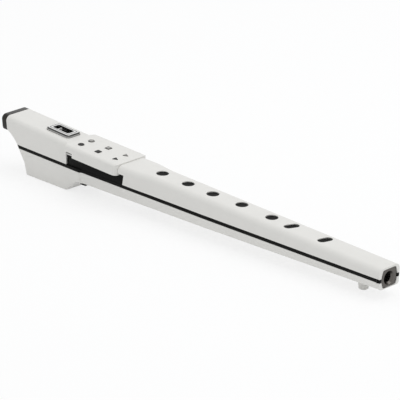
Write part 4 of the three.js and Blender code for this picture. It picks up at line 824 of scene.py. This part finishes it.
for place in KEY_PLACES:
    key(*place)
print("keys:", len(KEY_PLACES))

# %% [markdown]
# The mouthpiece cap closes the beak. Its rear edge is rounded by rings that shrink
# along a quarter circle, because a bevel can't be wider than the cap's own short
# edges allow. Its spigot goes into the head, with a groove for the seal.

# %% Mouthpiece cap
RIM_RADIUS = 1.6
RIM_STEPS = 8
SPIGOT_LENGTH = 11.0
SPIGOT_INSET = 3.1
SPIGOT_HOLLOW_INSET = 4.9
TIP_WALL = 3.6
GROOVE_REAR_X = 10.7
GROOVE_FRONT_X = 13.3
GROOVE_INSET = 4.0
SLOT_HALF = 7.0
SLOT_HALF_HEIGHT = 1.3


def quarter_rim():
    """Places along a quarter circle and their insets, from a flat face to its side."""
    turns = [math.pi / 2 * i / RIM_STEPS for i in range(RIM_STEPS + 1)]
    return [(RIM_RADIUS * (1 - math.cos(turn)), RIM_RADIUS * (1 - math.sin(turn))) for turn in turns]


def spigot_stretch(x0, x1, inset):
    """The section at the cap's front, kept the same from x0 to x1."""
    section = body_section(CAP_LENGTH, inset)
    return loft("cutter", [[(x, y, z) for _, y, z in section] for x in (x0, x1)])


def mouthpiece_cap():
    rings = [body_section(along, inset) for along, inset in quarter_rim()]
    cap = loft("mouthpiece_cap_look", rings + [body_section(CAP_LENGTH)])
    spigot_end = CAP_LENGTH + SPIGOT_LENGTH
    boolean(cap, [spigot_stretch(CAP_LENGTH - SEAM, spigot_end, SPIGOT_INSET)], "UNION")
    groove = spigot_stretch(GROOVE_REAR_X, GROOVE_FRONT_X, WALL)
    boolean(groove, [spigot_stretch(GROOVE_REAR_X - SEAM, GROOVE_FRONT_X + SEAM, GROOVE_INSET)])
    middle = (REAR_TOP_Z + BEAK_RISE) / 2
    slot = box(
        (-OVERRUN, -SLOT_HALF, middle - SLOT_HALF_HEIGHT),
        (spigot_end, SLOT_HALF, middle + SLOT_HALF_HEIGHT))
    hollow = spigot_stretch(TIP_WALL, spigot_end + OVERRUN, SPIGOT_HOLLOW_INSET)
    return boolean(cap, [hollow, slot, groove])


stand_in(mouthpiece_cap(), "mouthpiece_cap", "mouthpiece", "smoked_chrome", SMOKED)

# %% [markdown]
# The foot insert carries the bore, and the peg below it is a turned stub. Round forms
# get more segments here than in their CAD, because the light shows each facet. The
# bore widens gently at its mouth, so the insert's crease angle is finer than usual.

# %% Foot insert and peg
INSERT_SINK = 0.8
BORE_Z = 26.4
BORE_RADIUS = 5.0
BORE_LENGTH = 40.0
MOUTH_LENGTH = 3.0
MOUTH_OVERRUN = 0.4
MOUTH_INNER_RADIUS = 4.75
MOUTH_OUTER_RADIUS = 6.65
PEG_RADIUS = 4.5
PEG_ROOT_RADIUS = 5.3
PEG_STEM_LENGTH = 4.5
MERGE_REACH = 1e-4


def turned(name, profile, matrix, segments=64):
    """A closed profile of radius and height, spun about the upright axis."""
    bm = bmesh.new()
    verts = [bm.verts.new((radius, 0, z)) for radius, z in profile]
    edges = [bm.edges.new(pair) for pair in zip(verts, verts[1:])]
    bmesh.ops.spin(bm, geom=verts + edges, cent=(0, 0, 0), axis=(0, 0, 1), angle=2 * math.pi,
                   steps=segments, use_merge=True)
    bmesh.ops.remove_doubles(bm, verts=bm.verts[:], dist=MERGE_REACH)
    bmesh.ops.recalc_face_normals(bm, faces=bm.faces[:])
    return mesh_object(name, bm, matrix)


def foot_insert():
    face = BODY_LENGTH - INSERT_SINK
    rear = BODY_LENGTH - INSERT_LENGTH
    plug = loft("foot_insert_look", [insert_ring(rear), insert_ring(face)])
    bore = rod((BODY_LENGTH - INSERT_LENGTH / 2, 0, BORE_Z), BORE_RADIUS, BORE_LENGTH, "X")
    mouth_x = face + MOUTH_OVERRUN - MOUTH_LENGTH / 2
    mouth = rod(
        (mouth_x, 0, BORE_Z), MOUTH_INNER_RADIUS, MOUTH_LENGTH, "X", end_radius=MOUTH_OUTER_RADIUS)
    return boolean(plug, [bore, mouth])


def foot_peg():
    height = underside_line(PEG_X) - PEG_END_Z - SEAM
    rim = [(PEG_RADIUS - inset, along) for along, inset in quarter_rim()]
    stem_top = height + PEG_STEM_LENGTH
    stem = [(PEG_STEM_RADIUS, height), (PEG_STEM_RADIUS, stem_top), (0, stem_top)]
    profile = [(0, 0)] + rim + [(PEG_ROOT_RADIUS, height)] + stem
    return turned("foot_peg_look", profile, PEG_TO_ROW)


# The insert wears the lighter copy of smoked chrome, painted light on its end face.
stand_in(foot_insert(), "foot_insert", "body", "smoked_chrome", INSERT_PAINTED_LIGHT, crease=FINE_CREASE)
stand_in(foot_peg(), "foot_peg", "body", "white_shell", WHITE)

# %% [markdown]
# Each finger sensor is a plug just under the shell with a shallow dish in its top,
# which the fingertip finds by feel. A flattened ball cuts the dish. Sculpting could
# press it in, but the ball gives each of the seven the same depth.

# %% Finger sensors
SENSOR_SINK = 0.6
SENSOR_FOOT_Z = 31.9
DISH_DEPTH = 0.9
DISH_SPREAD = 0.8
OBLONG_DISH_SPREAD = 0.55


def finger_dish(x, y, top, slant):
    """A flattened ball that hollows the sensor's top."""
    bm = bmesh.new()
    bmesh.ops.create_uvsphere(bm, u_segments=48, v_segments=24, radius=HOLE_RADIUS)
    spread = DISH_SPREAD if slant is None else OBLONG_DISH_SPREAD
    flat = DISH_DEPTH / HOLE_RADIUS
    bm.transform(
        Matrix.Translation((x, y, top))
        @ Matrix.Rotation(math.radians(-(slant or 0)), 4, "Z")
        @ Matrix.Diagonal((spread, DISH_SPREAD, flat, 1)))
    return mesh_object("cutter", bm)


def finger_sensor(i, x, y, slant):
    top = top_z(x) - SENSOR_SINK
    plug = finger_tool(x, y, slant, -SEAM, SENSOR_FOOT_Z, top)
    boolean(plug, [finger_dish(x, y, top, slant)])
    stand_in(plug, f"finger_sensor_{i}", "body", "black_matt", BLACK_MATT)


for i, finger in enumerate(FINGERS, 1):
    finger_sensor(i, *finger)
print("finger sensors:", len(FINGERS))

# %% [markdown]
# The bezel is one ring in bright chrome with a fine groove round its top. Its reflections
# are painted into its colour: the slopes and the groove get a darker copy of the chrome,
# painted shade for what a polished rim reflects between two pale plastics, and the
# upright side a copy in between. Each face's slope and height decide its painted tone.

# %% Window bezel
BEZEL_TOP = 2.6
BEZEL_SHOULDER = 2.0
GROOVE_FLOOR = 2.3
GROOVE_ROOM = 0.05
RIMS = ((0.0, -0.6), (0.0, 1.4), (0.4, BEZEL_SHOULDER), (1.1, 2.45), (1.5, BEZEL_TOP))
GROOVE = ((2.5, BEZEL_TOP), (2.65, GROOVE_FLOOR), (3.05, GROOVE_FLOOR), (3.2, BEZEL_TOP))
OPENING = ((0.0, -2.0), (0.0, 0.0), (0.8, BEZEL_TOP), (1.2, OVERRUN))
OPENING_LENGTH = 19.6
OPENING_WIDTH = 7.2
OPENING_RADIUS = 1.0
NEARLY_LEVEL = 0.75
NEARLY_UPRIGHT = 0.1
window_up = WINDOW_TO_ROW.to_3x3().normalized() @ Vector((0, 0, 1))


def rim_ring(length, width, radius, grow, z):
    outline = rounded_outline(length + 2 * grow, width + 2 * grow, radius + grow, 8)
    return [(x, y, z) for x, y in outline]


def window_bezel():
    outside = [rim_ring(BEZEL_LENGTH, BEZEL_WIDTH, BEZEL_RADIUS, -d, z) for d, z in RIMS + GROOVE]
    inside = [rim_ring(OPENING_LENGTH, OPENING_WIDTH, OPENING_RADIUS, d, z) for d, z in OPENING]
    ring = loft("window_bezel_look", outside, WINDOW_TO_ROW)
    return boolean(ring, [loft("cutter", inside, WINDOW_TO_ROW)])


def bezel_painted_tone(face):
    """0 for the bright top, 1 for the upright side's painted half shade, 2 for the painted shade of
    slopes and the groove.
    """
    rise = face.normal.dot(window_up)
    height = (WINDOW_TO_ROW.inverted() @ face.center).z
    if rise > NEARLY_LEVEL:
        return 2 if BEZEL_SHOULDER < height < GROOVE_FLOOR + GROOVE_ROOM else 0
    return 1 if rise < NEARLY_UPRIGHT and height < BEZEL_SHOULDER else 2


bezel = stand_in(window_bezel(), "window_bezel", "body", "bright_chrome", CHROME)
# The darker copies paint the shade that the rim reflects on its side, slopes and groove.
bezel.data.materials.append(CHROME_SIDE_PAINTED_SHADE)
bezel.data.materials.append(CHROME_EDGE_PAINTED_SHADE)
for face in bezel.data.polygons:
    face.material_index = bezel_painted_tone(face)
print("bright bezel faces:", sum(face.material_index == 0 for face in bezel.data.polygons))

# %% [markdown]
# The rest keeps its CAD shape. A slot decides the finish of each piece, and a small
# bevel rounds the edges that a hand or the light would find. The chassis frame has
# short edges too, which keep its bevel very narrow. They could all be built again
# like the shells, but their flat faces and small rods are already as they are on the
# real object.

# %% Finishes of the CAD pieces
FINISHES = {
    "white_shell": (WHITE, 0.3, ("battery_door",)),
    "black_gloss": (BLACK_GLOSS, 0.15, ("chassis_frame",)),
    "black_matt": (BLACK_MATT, 0.2, (
        "window_cup", "underside_lug", "thumb_sensor", "breath_sensor", "phones_jack", "battery_tray",
    )),
    "light_plastic": (LIGHT, 0.15, ("window_lip", "power_switch")),
    "rubber": (RUBBER, 0.0, ("mouthpiece_seal", "breath_hose", "key_mat")),
    "board_green": (BOARD, 0.0, ("sensor_board", "main_board", "key_board")),
    "steel": (STEEL, 0.1, (
        "usb_socket", "contact_plate_rear", "contact_plate_front",
        *[f"shell_screw_{i}" for i in range(1, 6)],
    )),
    "cell_sleeve": (CELL, 0.3, tuple(f"battery_cell_{i}" for i in range(1, 5))),
}
for slot, (mat, bevel, names) in FINISHES.items():
    for name in names:
        finish_piece(frame["nodes"][name], mat, bevel=bevel, weld=bevel > 0)

# A node that a new piece replaces is hidden, and gets a material all the same.
for node in frame["nodes"].values():
    if node.hide_render:
        node.data.materials.clear()
        node.data.materials.append(WHITE)
print("finished:", sum(len(names) for mat, bevel, names in FINISHES.values()), "CAD pieces")

# %% [markdown]
# The floor is pale and keeps the object's shadow. A matt floor alone would look grey
# between the lamp and the world, so it glows for the rays that the camera sees. More
# light would whiten it as well, but would wash out the white plastic.

# %% Floor
def seen_directly(nodes, links):
    """1 for what the camera sees, itself, in a reflection or through glass."""
    path = nodes.new("ShaderNodeLightPath")
    seen = path.outputs["Is Camera Ray"]
    for kind in ("Is Glossy Ray", "Is Transmission Ray"):
        either = nodes.new("ShaderNodeMath")
        either.operation = "MAXIMUM"
        links.new(seen, either.inputs[0])
        links.new(path.outputs[kind], either.inputs[1])
        seen = either.outputs["Value"]
    return seen


FLOOR_HALF = 6.0
WHITE_SHARE = 0.75

bm = bmesh.new()
bmesh.ops.create_grid(bm, x_segments=1, y_segments=1, size=FLOOR_HALF)
floor = mesh_object("floor", bm, Matrix.Identity(4))
FLOOR = bpy.data.materials.new("floor")
FLOOR.use_nodes = True
nodes, links = FLOOR.node_tree.nodes, FLOOR.node_tree.links
matt = nodes["Principled BSDF"]
matt.inputs["Base Color"].default_value = (0.96, 0.96, 0.96, 1)
matt.inputs["Roughness"].default_value = 0.9
matt.inputs["Specular IOR Level"].default_value = 0.1
glow = nodes.new("ShaderNodeEmission")
glow.inputs["Strength"].default_value = 1.0
part = nodes.new("ShaderNodeMath")
part.operation = "MULTIPLY"
part.inputs[1].default_value = WHITE_SHARE
links.new(seen_directly(nodes, links), part.inputs[0])
mix = nodes.new("ShaderNodeMixShader")
links.new(part.outputs["Value"], mix.inputs["Fac"])
links.new(matt.outputs["BSDF"], mix.inputs[1])
links.new(glow.outputs["Emission"], mix.inputs[2])
links.new(mix.outputs["Shader"], nodes["Material Output"].inputs["Surface"])
floor.data.materials.append(FLOOR)
print("floor in m:", [round(v, 2) for v in floor.dimensions])

# %% [markdown]
# A world can look one way and light another. Rays that the camera sees, straight or
# in a reflection, find it white, and the rays that light the object find it dimmer.

# %% World
LAMP_STRENGTH = 0.74

world = bpy.data.worlds.new("studio")
bpy.context.scene.world = world
world.use_nodes = True
nodes, links = world.node_tree.nodes, world.node_tree.links
lamp = nodes["Background"]
lamp.inputs["Color"].default_value = (0.98, 0.99, 1.0, 1)
lamp.inputs["Strength"].default_value = LAMP_STRENGTH
sky = nodes.new("ShaderNodeBackground")
sky.inputs["Color"].default_value = (1, 1, 1, 1)
sky.inputs["Strength"].default_value = 1.0
mix = nodes.new("ShaderNodeMixShader")
links.new(seen_directly(nodes, links), mix.inputs["Fac"])
links.new(lamp.outputs["Background"], mix.inputs[1])
links.new(sky.outputs["Background"], mix.inputs[2])
links.new(mix.outputs["Shader"], nodes["World Output"].inputs["Surface"])
print("world lamp strength:", LAMP_STRENGTH)

# %% [markdown]
# One wide lamp hangs high over the far side. It makes the top a little lighter than
# the sides, so that the form reads, and its shadow is soft.

# %% Lamp
def soft_lamp(name, place, aim, width, power):
    data = bpy.data.lights.new(name, "AREA")
    data.shape, data.size, data.energy = "DISK", width, power
    obj = bpy.data.objects.new(name, data)
    bpy.context.scene.collection.objects.link(obj)
    obj.location = place
    obj.rotation_euler = (Vector(aim) - Vector(place)).to_track_quat("-Z", "Y").to_euler()
    return obj


soft_lamp("overhead", (0.3, 0.4, 1.8), (0, 0, 0), 1.8, 12.0)
print("lamps:", len(bpy.data.lights))

# %% [markdown]
# The camera is far away and its lens is long, because the two sides of the body run
# almost parallel in the view. A near camera with a short lens would make the foot,
# which is closer, look too big for the head.

# %% Camera
AZIMUTH = math.radians(44.35)
ELEVATION = math.radians(20.83)
DISTANCE = 2.73627
SENSOR_WIDTH = 36
LENS = 270
aim = Vector((0.01095, 0, 0.02956))
level = math.cos(ELEVATION)
back = Vector((math.sin(AZIMUTH) * level, -math.cos(AZIMUTH) * level, math.sin(ELEVATION)))
camera_data = bpy.data.cameras.new("camera")
camera_data.sensor_width = SENSOR_WIDTH
camera_data.lens = LENS
camera = bpy.data.objects.new("camera", camera_data)
bpy.context.scene.collection.objects.link(camera)
camera.location = aim + DISTANCE * back
camera.rotation_euler = back.to_track_quat("Z", "Y").to_euler()
bpy.context.scene.camera = camera
bpy.context.scene.view_settings.view_transform = "Standard"
print("camera at:", [round(v, 3) for v in camera.location])
